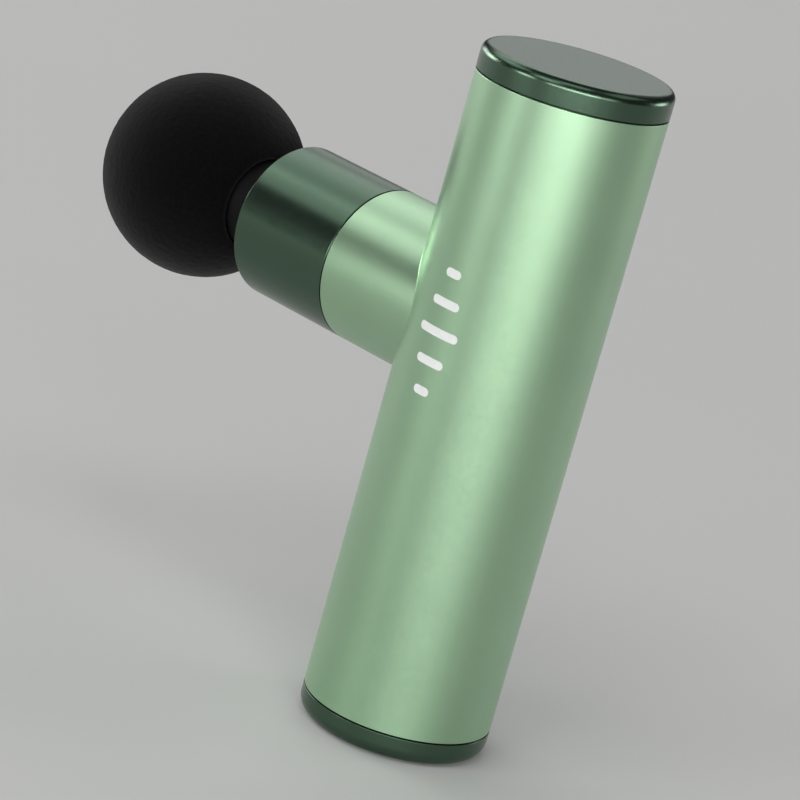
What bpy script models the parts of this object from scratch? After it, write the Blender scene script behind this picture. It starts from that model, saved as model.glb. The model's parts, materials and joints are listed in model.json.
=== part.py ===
"""Cordless percussion massage gun: a straight tube with a side neck, a collar and a ball head.

Metres, +Z up. The origin is the centre of the base cap's flat face, and the tube stands on it.
The neck points along -X. Pieces on the neck are modelled about their own +Z and are parented to
an empty that turns that +Z forward, so their heights are distances forward of the tube's axis.
"""

import math
from collections import namedtuple

import bmesh
import bpy

# ---------------------------------------------------------------- driving dimensions
BODY_RADIUS = 0.0200
BODY_HEIGHT = 0.1449
BODY_WALL = 0.0015
BASE_CAP_HEIGHT = 0.0054
TOP_CAP_HEIGHT = 0.0055
NECK_HEIGHT = 0.0883
NECK_RADIUS = 0.0168
NECK_REACH = 0.0372
COLLAR_REACH = 0.0642
BALL_REACH = 0.0931
BALL_RADIUS = 0.0222
STEM_RADIUS = 0.0100
CRANK_THROW = 0.0030
SHAFT_RADIUS = 0.0015

SEAM = 0.0004
GAP = 0.0003
FIT = 0.00015
EDGE = 0.0004
# How far a cutter runs past the face that it goes through
PAST = 0.0010

# Round pieces: number of sides
FINE = 40
ROUND = 32
MEDIUM = 24
PLAIN = 20
COARSE = 16
SMALL = 12
TINY = 8
ARC_STEPS = 3
BEND_STEPS = 4

# ---------------------------------------------------------------- worked out from those
BODY_BORE = BODY_RADIUS - BODY_WALL
NECK_BORE = NECK_RADIUS - BODY_WALL
TUBE_BOTTOM = BASE_CAP_HEIGHT + SEAM / 2
TUBE_TOP = BODY_HEIGHT - TOP_CAP_HEIGHT - SEAM / 2
SPIGOT_RADIUS = BODY_BORE - SEAM

# Caps, their sealing rings and the collar
TOP_CAP_FILLET = 0.0015
BASE_CAP_FILLET = 0.0030
CAP_WALL = 0.0022
SPIGOT_LENGTH = 0.0060
SPIGOT_WALL = 0.0018
RING_WIDTH = 0.0014
RING_GROOVE_WIDTH = RING_WIDTH + 0.0004
RING_GROOVE_DEPTH = 0.0009
RING_GROOVE_START = 0.0017
COLLAR_RIM = 0.0020
COLLAR_WALL = 0.0030

# Drive chassis
FRAME_RADIUS = 0.0166
FRAME_BORE = 0.0152
FRAME_BOTTOM = 0.0683
FRAME_TOP = 0.1310
FLOOR_LOW = 0.0735
FLOOR_HIGH = 0.0760
PLATE_LOW = NECK_HEIGHT + 0.0090
PLATE_HIGH = NECK_HEIGHT + 0.0150
FACE_REACH = 0.0103
FACE_THICKNESS = 0.0030
FACE_RADIUS = 0.0148
FACE_BORE = 0.0100
DAMPER_HEIGHT = 0.0040
DAMPER_BOTTOMS = (0.1100, 0.1250)

# Piston and its guide
PISTON_RADIUS = 0.0085
PISTON_REAR = 0.0125
PISTON_FRONT = 0.0600
SOCKET_RADIUS = 0.0063
SOCKET_DEPTH = 0.0290
SOCKET_FLOOR = PISTON_FRONT - SOCKET_DEPTH
BARREL_RADIUS = 0.0120
BARREL_BORE = 0.0103
BARREL_FRONT = 0.0564
BARREL_FLANGE_RADIUS = 0.0150
BARREL_REAR = FACE_REACH + GAP
BARREL_FLANGE_FRONT = BARREL_REAR + 0.0030
BUSH_LENGTH = 0.0120
BUSH_INSET = 0.0024

# Crank and slotted yoke
YOKE_HALF_THICKNESS = 0.0030
YOKE_WALL = 0.0032
ROLLER_RADIUS = 0.0032
SLOT_CLEARANCE = 0.0008
SLOT_HALF_WIDTH = ROLLER_RADIUS + SLOT_CLEARANCE
YOKE_HALF_LENGTH = SLOT_HALF_WIDTH + YOKE_WALL
YOKE_HALF_WIDTH = CRANK_THROW + SLOT_HALF_WIDTH + 0.0034
YOKE_ROD_RADIUS = 0.0030
ROD_DEPTH = 0.0085
ROD_HOLE_DEPTH = 0.0100
DISC_LOW = NECK_HEIGHT + 0.0036
DISC_HIGH = NECK_HEIGHT + 0.0082
DISC_RADIUS = 0.0085
HUB_RADIUS = 0.0040
HUB_TOP = PLATE_LOW + 0.0037
CRANK_BEARING_RADIUS = 0.0060
# Floor of the shaft's hole, above the neck's axis
SHAFT_HOLE_FLOOR = DISC_HIGH - NECK_HEIGHT - 0.0008

# Motor
FLANGE_LOW = PLATE_HIGH + GAP
FLANGE_HIGH = FLANGE_LOW + 0.0020
FLANGE_RADIUS = 0.0134
STATOR_LOW = 0.1090
STATOR_HIGH = 0.1220
STATOR_RADIUS = 0.0120
CAN_LOW = 0.1082
CAN_TOP = 0.1275
CAN_RADIUS = 0.0140
CAN_WALL = 0.0009
CAN_ROOF = 0.0020
MOTOR_TUBE_RADIUS = 0.0052
MOTOR_BEARING_RADIUS = 0.0035
MOTOR_BEARING_HEIGHT = 0.0030

# Battery and boards
CELL_RADIUS = 0.0070
CELL_CIRCLE = 0.0083
CELL_LOW = 0.0138
CELL_HIGH = 0.0638
CELL_ANGLES = (90, 210, 330)
RIB_ANGLES = (30, 150, 270)
RIB_CIRCLE = 0.0128
RIB_RADIUS = 0.0030
HOLDER_RADIUS = 0.0157
HOLDER_LOW = 0.0122
HOLDER_HIGH = 0.0654
MAIN_BOARD_LOW = 0.0664
MAIN_BOARD_HIGH = MAIN_BOARD_LOW + 0.0014
CONTROL_BOARD_LOW = 0.0076
CONTROL_BOARD_HIGH = CONTROL_BOARD_LOW + 0.0012
CONTROL_BOARD_RADIUS = 0.0156
CHIP_HEIGHT = 0.0009
POST_CIRCLE = 0.0126
POST_RADIUS = 0.0022
POST_TOP = CONTROL_BOARD_LOW - GAP
POST_ANGLES = (80, 280)

# Leads
WIRE_ANGLES = (0, 60, 300)
MOTOR_LEAD_ANGLE = -25
WIRE_CIRCLE = 0.0142
WIRE_RADIUS = 0.0006
MOTOR_LEAD_RADIUS = 0.0007
WIRE_BEND = 0.0012
WIRE_LIFT = 0.0004

# Screws; a hole is wider than its screw by one of these
Screw = namedtuple("Screw", "head_radius head_height shank_radius shank_length")
GUIDE_SCREW = Screw(0.00135, 0.0012, 0.00075, 0.0058)
MOTOR_SCREW = Screw(0.0018, 0.0015, 0.00095, 0.0056)
BOARD_SCREW = Screw(0.0018, 0.0012, 0.00095, 0.0040)
CLEAR_HOLE = 0.0002
TAPPED_HOLE = FIT
SCREW_ANGLES = (45, 135, 225, 315)
GUIDE_SCREW_CIRCLE = 0.0135
MOTOR_SCREW_CIRCLE = 0.0095
MOTOR_SCREW_SEAT = PLATE_LOW + 0.0019

# Controls on the base
BUTTON_X = -0.0070
BUTTON_RADIUS = 0.0042
BUTTON_RECESS = 0.0004
BUTTON_FLANGE = 0.0010
LIGHT_CIRCLE = 0.0069
LIGHT_RADIUS = 0.0006
LIGHT_RECESS = 0.0002
LIGHT_PLAY = 0.00025
LIGHT_ANGLES = (126, 162, 198, 234)
PORT_X = 0.0090
PORT_HALF_LENGTH = 0.00447
PORT_HALF_WIDTH = 0.00158
PORT_RECESS = 0.0005
PORT_WALL = 0.0003

# Pieces with so many cuts that the exact solver leaves gaps in them
INTRICATE = ("drive_frame", "battery_holder")


# ---------------------------------------------------------------- tools
def clear_scene():
    for obj in list(bpy.data.objects):
        bpy.data.objects.remove(obj)


def make_material(name, colour, roughness, metallic):
    material = bpy.data.materials.new(name)
    material.use_nodes = True
    shader = material.node_tree.nodes["Principled BSDF"]
    shader.inputs["Base Color"].default_value = (*colour, 1.0)
    shader.inputs["Roughness"].default_value = roughness
    shader.inputs["Metallic"].default_value = metallic
    return material


def make_empty(name, location, rotation=(0, 0, 0), parent=None):
    empty = bpy.data.objects.new(name, None)
    bpy.context.collection.objects.link(empty)
    empty.location = location
    empty.rotation_euler = rotation
    empty.parent = parent
    return empty


def finish(bm, name, parent, material, location):
    """Turns a bmesh into a smooth-shaded object with its faces pointing out."""
    bmesh.ops.recalc_face_normals(bm, faces=bm.faces)
    mesh = bpy.data.meshes.new(name)
    bm.to_mesh(mesh)
    bm.free()
    mesh.shade_smooth()
    mesh.set_sharp_from_angle(angle=math.radians(30))
    obj = bpy.data.objects.new(name, mesh)
    bpy.context.collection.objects.link(obj)
    obj.location = location
    obj.parent = parent
    if material:
        obj.data.materials.append(material)
    return obj


def turned(name, profile, sides, parent, material=None, location=(0, 0, 0)):
    """Spins (radius, height) points about Z. From axis to axis it is a solid, otherwise a ring."""
    bm = bmesh.new()
    verts = [bm.verts.new((radius, 0, height)) for radius, height in profile]
    edges = [bm.edges.new(pair) for pair in zip(verts, verts[1:])]
    if profile[0][0] > 0:
        edges.append(bm.edges.new((verts[-1], verts[0])))
    geometry = verts + edges
    bmesh.ops.spin(bm, geom=geometry, axis=(0, 0, 1), cent=(0, 0, 0), angle=2 * math.pi, steps=sides)
    bmesh.ops.remove_doubles(bm, verts=bm.verts, dist=1e-6)
    return finish(bm, name, parent, material, location)


def prism(name, outline, low, high, parent, material=None, location=(0, 0, 0)):
    """Extrudes a closed outline of (x, y) points from low to high."""
    bm = bmesh.new()
    face = bm.faces.new([bm.verts.new((x, y, low)) for x, y in outline])
    grown = bmesh.ops.extrude_face_region(bm, geom=[face])
    moved = [item for item in grown["geom"] if isinstance(item, bmesh.types.BMVert)]
    bmesh.ops.translate(bm, verts=moved, vec=(0, 0, high - low))
    return finish(bm, name, parent, material, location)


def rod_profile(radius, low, high):
    return [(0, low), (radius, low), (radius, high), (0, high)]


def ring_profile(inner, outer, low, high):
    return [(inner, low), (outer, low), (outer, high), (inner, high)]


def arc(centre_radius, centre_height, radius, start, end, steps):
    """Points of a circular arc in (radius, height), with angles in degrees from the outward direction."""
    points = []
    for step in range(steps + 1):
        angle = math.radians(start + (end - start) * step / steps)
        points.append((centre_radius + radius * math.cos(angle), centre_height + radius * math.sin(angle)))
    return points


def polar(circle, degrees):
    angle = math.radians(degrees)
    return circle * math.cos(angle), circle * math.sin(angle)


def spot(circle, degrees, height=0.0):
    """The point at an angle on a circle about Z."""
    return (*polar(circle, degrees), height)


def capsule_outline(half_length, half_width, steps=8):
    """A slot's outline along Y with round ends; half_length is to the far end."""
    straight = half_length - half_width
    outline = []
    for side, start in ((1, 0), (-1, 180)):
        for step in range(steps + 1):
            x, y = polar(half_width, start + 180 * step / steps)
            outline.append((x, y + side * straight))
    return outline


def box_outline(half_x, half_y):
    return [(-half_x, -half_y), (half_x, -half_y), (half_x, half_y), (-half_x, half_y)]


def boolean(target, other, operation):
    other.hide_render = True
    other.display_type = "WIRE"
    modifier = target.modifiers.new(other.name, "BOOLEAN")
    modifier.operation = operation
    modifier.solver = "MANIFOLD" if target.name in INTRICATE else "EXACT"
    modifier.object = other


def cut(target, cutter):
    boolean(target, cutter, "DIFFERENCE")


def join(target, other):
    boolean(target, other, "UNION")


def drill(target, name, radius, low, high, parent, location=(0, 0, 0), sides=SMALL):
    """A round hole from low to high; a blind hole's open end has PAST added by the caller."""
    cut(target, turned(name, rod_profile(radius, low, high), sides, parent, location=location))


def drill_through(target, name, radius, low, high, parent, location=(0, 0, 0), sides=SMALL):
    """A round hole right through the wall between low and high."""
    drill(target, name, radius, low - PAST, high + PAST, parent, location, sides)


def bevel(obj, width, segments=2):
    modifier = obj.modifiers.new("edges", "BEVEL")
    modifier.width = width
    modifier.segments = segments
    modifier.limit_method = "ANGLE"


# ---------------------------------------------------------------- shell, caps and collar
def build_body_shell(material, base, neck):
    """Tube and neck are one piece of metal, open at its three ends."""
    tube = rod_profile(BODY_RADIUS, TUBE_BOTTOM, TUBE_TOP)
    shell = turned("body_shell", tube, FINE, base, material)
    neck_end = NECK_REACH - SEAM / 2
    start = BODY_BORE / 4
    join(shell, turned("neck_blank", rod_profile(NECK_RADIUS, start, neck_end), FINE, neck))
    drill_through(shell, "body_bore", BODY_BORE, TUBE_BOTTOM, TUBE_TOP, base, sides=FINE)
    drill(shell, "neck_bore", NECK_BORE, start / 2, neck_end + PAST, neck, sides=FINE)


def cap_profile(height, fillet, seam, spigot_end, direction):
    """A cap's profile from its outer face inwards; direction is 1 for a cap that opens upwards."""
    groove_near = seam + direction * RING_GROOVE_START
    groove_far = groove_near + direction * RING_GROOVE_WIDTH
    groove_floor = SPIGOT_RADIUS - RING_GROOVE_DEPTH
    bore = SPIGOT_RADIUS - SPIGOT_WALL
    inner_face = height + direction * CAP_WALL
    corner = arc(BODY_RADIUS - fillet, height + direction * fillet, fillet, -90 * direction, 0, ARC_STEPS)
    return [
        (0, height),
        *corner,
        (BODY_RADIUS, seam),
        (SPIGOT_RADIUS, seam),
        (SPIGOT_RADIUS, groove_near),
        (groove_floor, groove_near),
        (groove_floor, groove_far),
        (SPIGOT_RADIUS, groove_far),
        (SPIGOT_RADIUS, spigot_end),
        (bore, spigot_end),
        (bore, inner_face),
        (0, inner_face),
    ]


def cap_ring(name, seam, direction, material, base):
    """The ring in the middle of a cap's groove, which seals against the tube's bore."""
    play = (RING_GROOVE_WIDTH - RING_WIDTH) / 2
    near = seam + direction * (RING_GROOVE_START + play)
    far = near + direction * RING_WIDTH
    inner = SPIGOT_RADIUS - RING_GROOVE_DEPTH + play
    ring = ring_profile(inner, BODY_BORE - FIT, min(near, far), max(near, far))
    turned(name, ring, MEDIUM, base, material)


def build_top_cap(material, rubber, base):
    seam = TUBE_TOP + SEAM
    profile = cap_profile(BODY_HEIGHT, TOP_CAP_FILLET, seam, seam - SPIGOT_LENGTH, -1)
    turned("top_cap", profile, FINE, base, material)
    cap_ring("top_cap_ring", seam, -1, rubber, base)


def build_base_cap(material, rubber, base):
    seam = TUBE_BOTTOM - SEAM
    profile = cap_profile(0, BASE_CAP_FILLET, seam, seam + SPIGOT_LENGTH, 1)
    cap = turned("base_cap", profile, FINE, base, material)
    hole = BOARD_SCREW.shank_radius + TAPPED_HOLE
    hole_depth = 0.0031
    for number, degrees in enumerate(POST_ANGLES, 1):
        place = spot(POST_CIRCLE, degrees)
        post = rod_profile(POST_RADIUS, CAP_WALL / 2, POST_TOP)
        join(cap, turned(f"post_{number}", post, SMALL, base, location=place))
        drill(cap, f"post_hole_{number}", hole, POST_TOP - hole_depth, POST_TOP + PAST, base, place)
    drill_through(cap, "button_hole", BUTTON_RADIUS + GAP, 0, CAP_WALL, base, (BUTTON_X, 0, 0), MEDIUM)
    slot = capsule_outline(PORT_HALF_LENGTH + GAP, PORT_HALF_WIDTH + GAP)
    cut(cap, prism("port_slot", slot, -PAST, CAP_WALL + PAST, base, location=(PORT_X, 0, 0)))
    hole = LIGHT_RADIUS + LIGHT_PLAY
    for number, degrees in enumerate(LIGHT_ANGLES, 1):
        x, y = polar(LIGHT_CIRCLE, degrees)
        place = (BUTTON_X + x, y, 0)
        drill_through(cap, f"light_hole_{number}", hole, 0, CAP_WALL, base, place, TINY)
    cap_ring("base_cap_ring", seam, 1, rubber, base)


def build_collar(material, rubber, neck):
    """The collar's spigot goes into the neck; its wall stops the guide, and its recess holds the wiper."""
    seam = NECK_REACH + SEAM / 2
    spigot = NECK_BORE - GAP
    spigot_rear = seam - SPIGOT_LENGTH
    groove_rear = spigot_rear + RING_WIDTH
    groove_front = groove_rear + RING_GROOVE_WIDTH
    groove = spigot - 0.0008
    bore = BARREL_RADIUS + 0.0012
    wall_rear = BARREL_FRONT + 2 * GAP
    wall_front = wall_rear + COLLAR_WALL
    wall_bore = STEM_RADIUS + 0.0012
    recess = NECK_RADIUS - COLLAR_RIM
    edge = 0.0003
    profile = [
        (bore, spigot_rear),
        (spigot, spigot_rear),
        (spigot, groove_rear),
        (groove, groove_rear),
        (groove, groove_front),
        (spigot, groove_front),
        (spigot, seam),
        (NECK_RADIUS, seam),
        (NECK_RADIUS, COLLAR_REACH - edge),
        (NECK_RADIUS - edge, COLLAR_REACH),
        (recess, COLLAR_REACH),
        (recess, wall_front),
        (wall_bore, wall_front),
        (wall_bore, wall_rear),
        (bore, wall_rear),
    ]
    turned("front_collar", profile, FINE, neck, material)
    play = (RING_GROOVE_WIDTH - RING_WIDTH) / 2
    ring = ring_profile(groove + play, NECK_BORE - FIT, groove_rear + play, groove_front - play)
    turned("collar_ring", ring, MEDIUM, neck, rubber)
    build_wiper(wall_front + GAP, recess - GAP, rubber, neck)


def build_wiper(rear, outer, rubber, neck):
    """A flat ring with a lip that leans forward to the stem."""
    pad_front = rear + 0.0014
    lip_front = rear + 0.0024
    lip = STEM_RADIUS + 0.0005
    lip_thickness = 0.0003
    profile = [
        (lip + 0.0009, rear),
        (outer, rear),
        (outer, pad_front),
        (lip + 0.0011, pad_front),
        (lip + lip_thickness, lip_front),
        (lip, lip_front - 0.0002),
    ]
    turned("front_wiper", profile, MEDIUM, neck, rubber)


# ---------------------------------------------------------------- chassis and guide
def build_frame(material, base, neck):
    """A round chassis: a crank chamber, a plate for the motor above it and a face for the guide."""
    body = rod_profile(FRAME_RADIUS, FRAME_BOTTOM, FRAME_TOP)
    frame = turned("drive_frame", body, MEDIUM, base, material)
    drill(frame, "frame_lower_bore", FRAME_BORE, FRAME_BOTTOM - PAST, FLOOR_LOW, base, sides=MEDIUM)
    drill(frame, "frame_chamber", FRAME_BORE, FLOOR_HIGH, PLATE_LOW, base, sides=MEDIUM)
    drill(frame, "frame_upper_bore", FRAME_BORE, PLATE_HIGH, FRAME_TOP + PAST, base, sides=MEDIUM)
    face_rear = FACE_REACH - FACE_THICKNESS
    face = rod_profile(FACE_RADIUS, face_rear, FACE_REACH + PAST)
    join(frame, turned("frame_face", face, MEDIUM, neck))
    drill(frame, "frame_front_cut", FACE_RADIUS + GAP, FACE_REACH, BODY_RADIUS, neck, sides=MEDIUM)
    # These cutters go through the front face only
    cut_rear = face_rear - PAST / 2
    cut_front = FACE_REACH + PAST
    drill(frame, "face_bore", FACE_BORE, cut_rear, cut_front, neck, sides=MEDIUM)
    slot = box_outline(YOKE_HALF_THICKNESS + 2 * GAP, YOKE_HALF_WIDTH + 0.0005)
    cut(frame, prism("face_slot", slot, cut_rear, cut_front, neck))
    drill_frame_screw_holes(frame, cut_rear, cut_front, base, neck)
    seat = CRANK_BEARING_RADIUS + FIT
    drill(frame, "bearing_seat", seat, PLATE_LOW - PAST, HUB_TOP + GAP, base, sides=MEDIUM)
    drill(frame, "shaft_hole", SHAFT_RADIUS + 0.0007, PLATE_LOW, PLATE_HIGH + PAST, base)
    window = box_outline(0.0030, 0.0016)
    upper = prism("lead_window_upper", window, 0.1050, 0.1083, base)
    lower = prism("lead_window_lower", window, FRAME_BOTTOM - PAST, 0.0722, base)
    for opening in (upper, lower):
        opening.location = spot(FRAME_RADIUS - 0.0007, MOTOR_LEAD_ANGLE)
        opening.rotation_euler = (0, 0, math.radians(MOTOR_LEAD_ANGLE))
        cut(frame, opening)


def drill_frame_screw_holes(frame, face_rear, face_front, base, neck):
    tap = GUIDE_SCREW.shank_radius + CLEAR_HOLE
    clear = MOTOR_SCREW.shank_radius + CLEAR_HOLE
    pocket = MOTOR_SCREW.head_radius + GAP
    pocket_top = MOTOR_SCREW_SEAT + GAP
    for number, degrees in enumerate(SCREW_ANGLES, 1):
        place = spot(GUIDE_SCREW_CIRCLE, degrees)
        drill(frame, f"guide_tap_{number}", tap, face_rear, face_front, neck, place, TINY)
        place = spot(MOTOR_SCREW_CIRCLE, degrees)
        drill_through(frame, f"motor_hole_{number}", clear, PLATE_LOW, PLATE_HIGH, base, place, TINY)
        drill(frame, f"motor_pocket_{number}", pocket, PLATE_LOW - PAST, pocket_top, base, place)


def build_dampers(material, base):
    for number, low in enumerate(DAMPER_BOTTOMS, 1):
        ring = ring_profile(FRAME_RADIUS + GAP, BODY_BORE - GAP, low, low + DAMPER_HEIGHT)
        turned(f"frame_damper_{number}", ring, MEDIUM, base, material)


def build_guide(aluminium, bronze, neck):
    profile = [
        (BARREL_BORE, BARREL_REAR),
        (BARREL_FLANGE_RADIUS - EDGE, BARREL_REAR),
        (BARREL_FLANGE_RADIUS, BARREL_REAR + EDGE),
        (BARREL_FLANGE_RADIUS, BARREL_FLANGE_FRONT),
        (BARREL_RADIUS, BARREL_FLANGE_FRONT),
        (BARREL_RADIUS, BARREL_FRONT - EDGE),
        (BARREL_RADIUS - EDGE, BARREL_FRONT),
        (BARREL_BORE, BARREL_FRONT),
    ]
    barrel = turned("guide_barrel", profile, MEDIUM, neck, aluminium)
    hole = GUIDE_SCREW.shank_radius + CLEAR_HOLE
    for number, degrees in enumerate(SCREW_ANGLES, 1):
        name = f"barrel_hole_{number}"
        place = spot(GUIDE_SCREW_CIRCLE, degrees)
        drill_through(barrel, name, hole, BARREL_REAR, BARREL_FLANGE_FRONT, neck, place, TINY)
    rear, front = BARREL_REAR + BUSH_INSET, BARREL_FRONT - BUSH_LENGTH
    for name, low in (("guide_bush_rear", rear), ("guide_bush_front", front)):
        bush = ring_profile(PISTON_RADIUS + GAP, BARREL_BORE - GAP, low, low + BUSH_LENGTH)
        turned(name, bush, MEDIUM, neck, bronze)


def screw_profile(screw):
    """A screw whose head stands on height zero, with its shank below."""
    edge = screw.head_radius / 5
    return [
        (0, -screw.shank_length),
        (screw.shank_radius, -screw.shank_length),
        (screw.shank_radius, 0),
        (screw.head_radius, 0),
        (screw.head_radius, screw.head_height - edge),
        (screw.head_radius - edge, screw.head_height),
        (0, screw.head_height),
    ]


def build_screws(steel, base, neck):
    upside_down = (math.pi, 0, 0)
    for number, degrees in enumerate(SCREW_ANGLES, 1):
        place = spot(GUIDE_SCREW_CIRCLE, degrees, BARREL_FLANGE_FRONT + GAP)
        turned(f"guide_screw_{number}", screw_profile(GUIDE_SCREW), TINY, neck, steel, place)
        place = spot(MOTOR_SCREW_CIRCLE, degrees, MOTOR_SCREW_SEAT)
        screw = turned(f"motor_screw_{number}", screw_profile(MOTOR_SCREW), TINY, base, steel, place)
        screw.rotation_euler = upside_down
    boards = (
        ("control_board_screw", POST_CIRCLE, POST_ANGLES, CONTROL_BOARD_HIGH),
        ("main_board_screw", RIB_CIRCLE, RIB_ANGLES[:2], MAIN_BOARD_HIGH),
    )
    for name, circle, angles, board_top in boards:
        for number, degrees in enumerate(angles, 1):
            place = spot(circle, degrees, board_top + GAP)
            turned(f"{name}_{number}", screw_profile(BOARD_SCREW), TINY, base, steel, place)


# ---------------------------------------------------------------- motor and crank
def build_motor_fixed(aluminium, steel, copper, base):
    """The motor's flange with the tube that carries the stator, and the three bearings."""
    seat = MOTOR_BEARING_RADIUS + FIT
    seat_floor = FLANGE_LOW + 0.0006
    shaft_hole = SHAFT_RADIUS + 0.0006
    tube_top = STATOR_HIGH - 0.0010
    profile = [
        (shaft_hole, FLANGE_LOW),
        (FLANGE_RADIUS, FLANGE_LOW),
        (FLANGE_RADIUS, FLANGE_HIGH),
        (MOTOR_TUBE_RADIUS, FLANGE_HIGH),
        (MOTOR_TUBE_RADIUS, tube_top),
        (seat, tube_top),
        (seat, seat_floor),
        (shaft_hole, seat_floor),
    ]
    flange = turned("motor_flange", profile, MEDIUM, base, aluminium)
    tap = MOTOR_SCREW.shank_radius + TAPPED_HOLE
    for number, degrees in enumerate(SCREW_ANGLES, 1):
        place = spot(MOTOR_SCREW_CIRCLE, degrees)
        drill_through(flange, f"flange_tap_{number}", tap, FLANGE_LOW, FLANGE_HIGH, base, place, TINY)
    shaft = SHAFT_RADIUS + FIT
    height = MOTOR_BEARING_HEIGHT
    bearings = (
        ("motor_bearing_lower", shaft, MOTOR_BEARING_RADIUS, seat_floor + GAP, seat_floor + GAP + height),
        ("motor_bearing_upper", shaft, MOTOR_BEARING_RADIUS, tube_top - GAP - height, tube_top - GAP),
        ("crank_bearing", HUB_RADIUS + FIT, CRANK_BEARING_RADIUS, PLATE_LOW + 0.0002, HUB_TOP),
    )
    for name, inner, outer, low, high in bearings:
        turned(name, ring_profile(inner, outer, low, high), PLAIN, base, steel)
    build_stator(copper, base)


def build_stator(material, base):
    """Nine wound teeth with wide shoes, on a ring round the motor's tube."""
    teeth = 9
    ring = 0.0072
    tooth = 0.0024
    shoe = STATOR_RADIUS - 0.0012
    slot = 0.0007
    root = math.degrees(tooth / ring)
    neck = math.degrees(tooth / shoe)
    reach = math.degrees(math.pi / teeth - slot / STATOR_RADIUS)
    half_tooth = ((ring, root), (shoe, neck), (shoe, reach), (STATOR_RADIUS, reach))
    outline = []
    for number in range(teeth):
        middle = 360 * number / teeth
        outline += [polar(radius, middle - degrees) for radius, degrees in half_tooth]
        outline += [polar(radius, middle + degrees) for radius, degrees in reversed(half_tooth)]
    stator = prism("motor_stator", outline, STATOR_LOW, STATOR_HIGH, base, material)
    bore = MOTOR_TUBE_RADIUS + GAP
    drill_through(stator, "stator_bore", bore, STATOR_LOW, STATOR_HIGH, base, sides=MEDIUM)


def build_rotor(steel, dark_steel, crank):
    """Can, magnet and shaft; heights are above the neck's axis."""
    low = CAN_LOW - NECK_HEIGHT
    top = CAN_TOP - NECK_HEIGHT
    edge = 0.0008
    boss = 0.0035
    boss_low = top - 2 * CAN_ROOF
    bore = SHAFT_RADIUS + FIT
    can = [
        (CAN_RADIUS - CAN_WALL, low),
        (CAN_RADIUS, low),
        (CAN_RADIUS, top - edge),
        (CAN_RADIUS - edge, top),
        (bore, top),
        (bore, boss_low),
        (boss, boss_low),
        (boss, top - CAN_ROOF),
        (CAN_RADIUS - CAN_WALL, top - CAN_ROOF),
    ]
    turned("motor_can", can, MEDIUM, crank, dark_steel)
    magnet_low = STATOR_LOW - NECK_HEIGHT
    magnet_high = STATOR_HIGH - NECK_HEIGHT
    glue = 0.0002
    magnet = ring_profile(STATOR_RADIUS + GAP, CAN_RADIUS - CAN_WALL - glue, magnet_low, magnet_high)
    turned("rotor_magnet", magnet, MEDIUM, crank, dark_steel)
    shaft_low = SHAFT_HOLE_FLOOR + 0.0002
    turned("motor_shaft", rod_profile(SHAFT_RADIUS, shaft_low, top - GAP), SMALL, crank, steel)


def build_crank(steel, dark_steel, crank):
    """Crank disc with its hub and counterweight, and the pin with its roller and clip."""
    low = DISC_LOW - NECK_HEIGHT
    high = DISC_HIGH - NECK_HEIGHT
    hub_top = HUB_TOP - NECK_HEIGHT
    bore = SHAFT_RADIUS + FIT
    profile = [
        (0, low),
        (DISC_RADIUS, low),
        (DISC_RADIUS, high),
        (HUB_RADIUS, high),
        (HUB_RADIUS, hub_top),
        (bore, hub_top),
        (bore, SHAFT_HOLE_FLOOR),
        (0, SHAFT_HOLE_FLOOR),
    ]
    disc = turned("crank_disc", profile, MEDIUM, crank, dark_steel)
    pin_place = (0, CRANK_THROW, 0)
    pin_hole_top = low + 0.0029
    drill(disc, "pin_hole", bore, low - PAST, pin_hole_top, crank, pin_place)
    # The disc is cut away on both sides of the pin, so that the far side outweighs it
    half_cut, half_depth = 0.0030, 0.0060
    side_of_cut = DISC_RADIUS - CRANK_THROW + half_cut
    for side, name in ((-1, "counterweight_cut_left"), (1, "counterweight_cut_right")):
        place = (side * side_of_cut, half_depth, 0)
        flat = box_outline(half_cut, half_depth)
        cut(disc, prism(name, flat, low - PAST, high - 0.0001, crank, location=place))

    pin_low = -YOKE_HALF_THICKNESS - 0.0007
    pin = rod_profile(SHAFT_RADIUS, pin_low, pin_hole_top - 0.0002)
    turned("crank_pin", pin, SMALL, crank, steel, pin_place)
    half = YOKE_HALF_THICKNESS - EDGE
    roller = ring_profile(SHAFT_RADIUS + FIT, ROLLER_RADIUS, -half, half)
    turned("crank_roller", roller, MEDIUM, crank, steel, pin_place)
    clip_low = pin_low + 0.0001
    clip_thickness = 0.0005
    clip = ring_profile(SHAFT_RADIUS + 0.0001, 0.0026, clip_low, clip_low + clip_thickness)
    turned("pin_clip", clip, SMALL, crank, dark_steel, pin_place)


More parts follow.
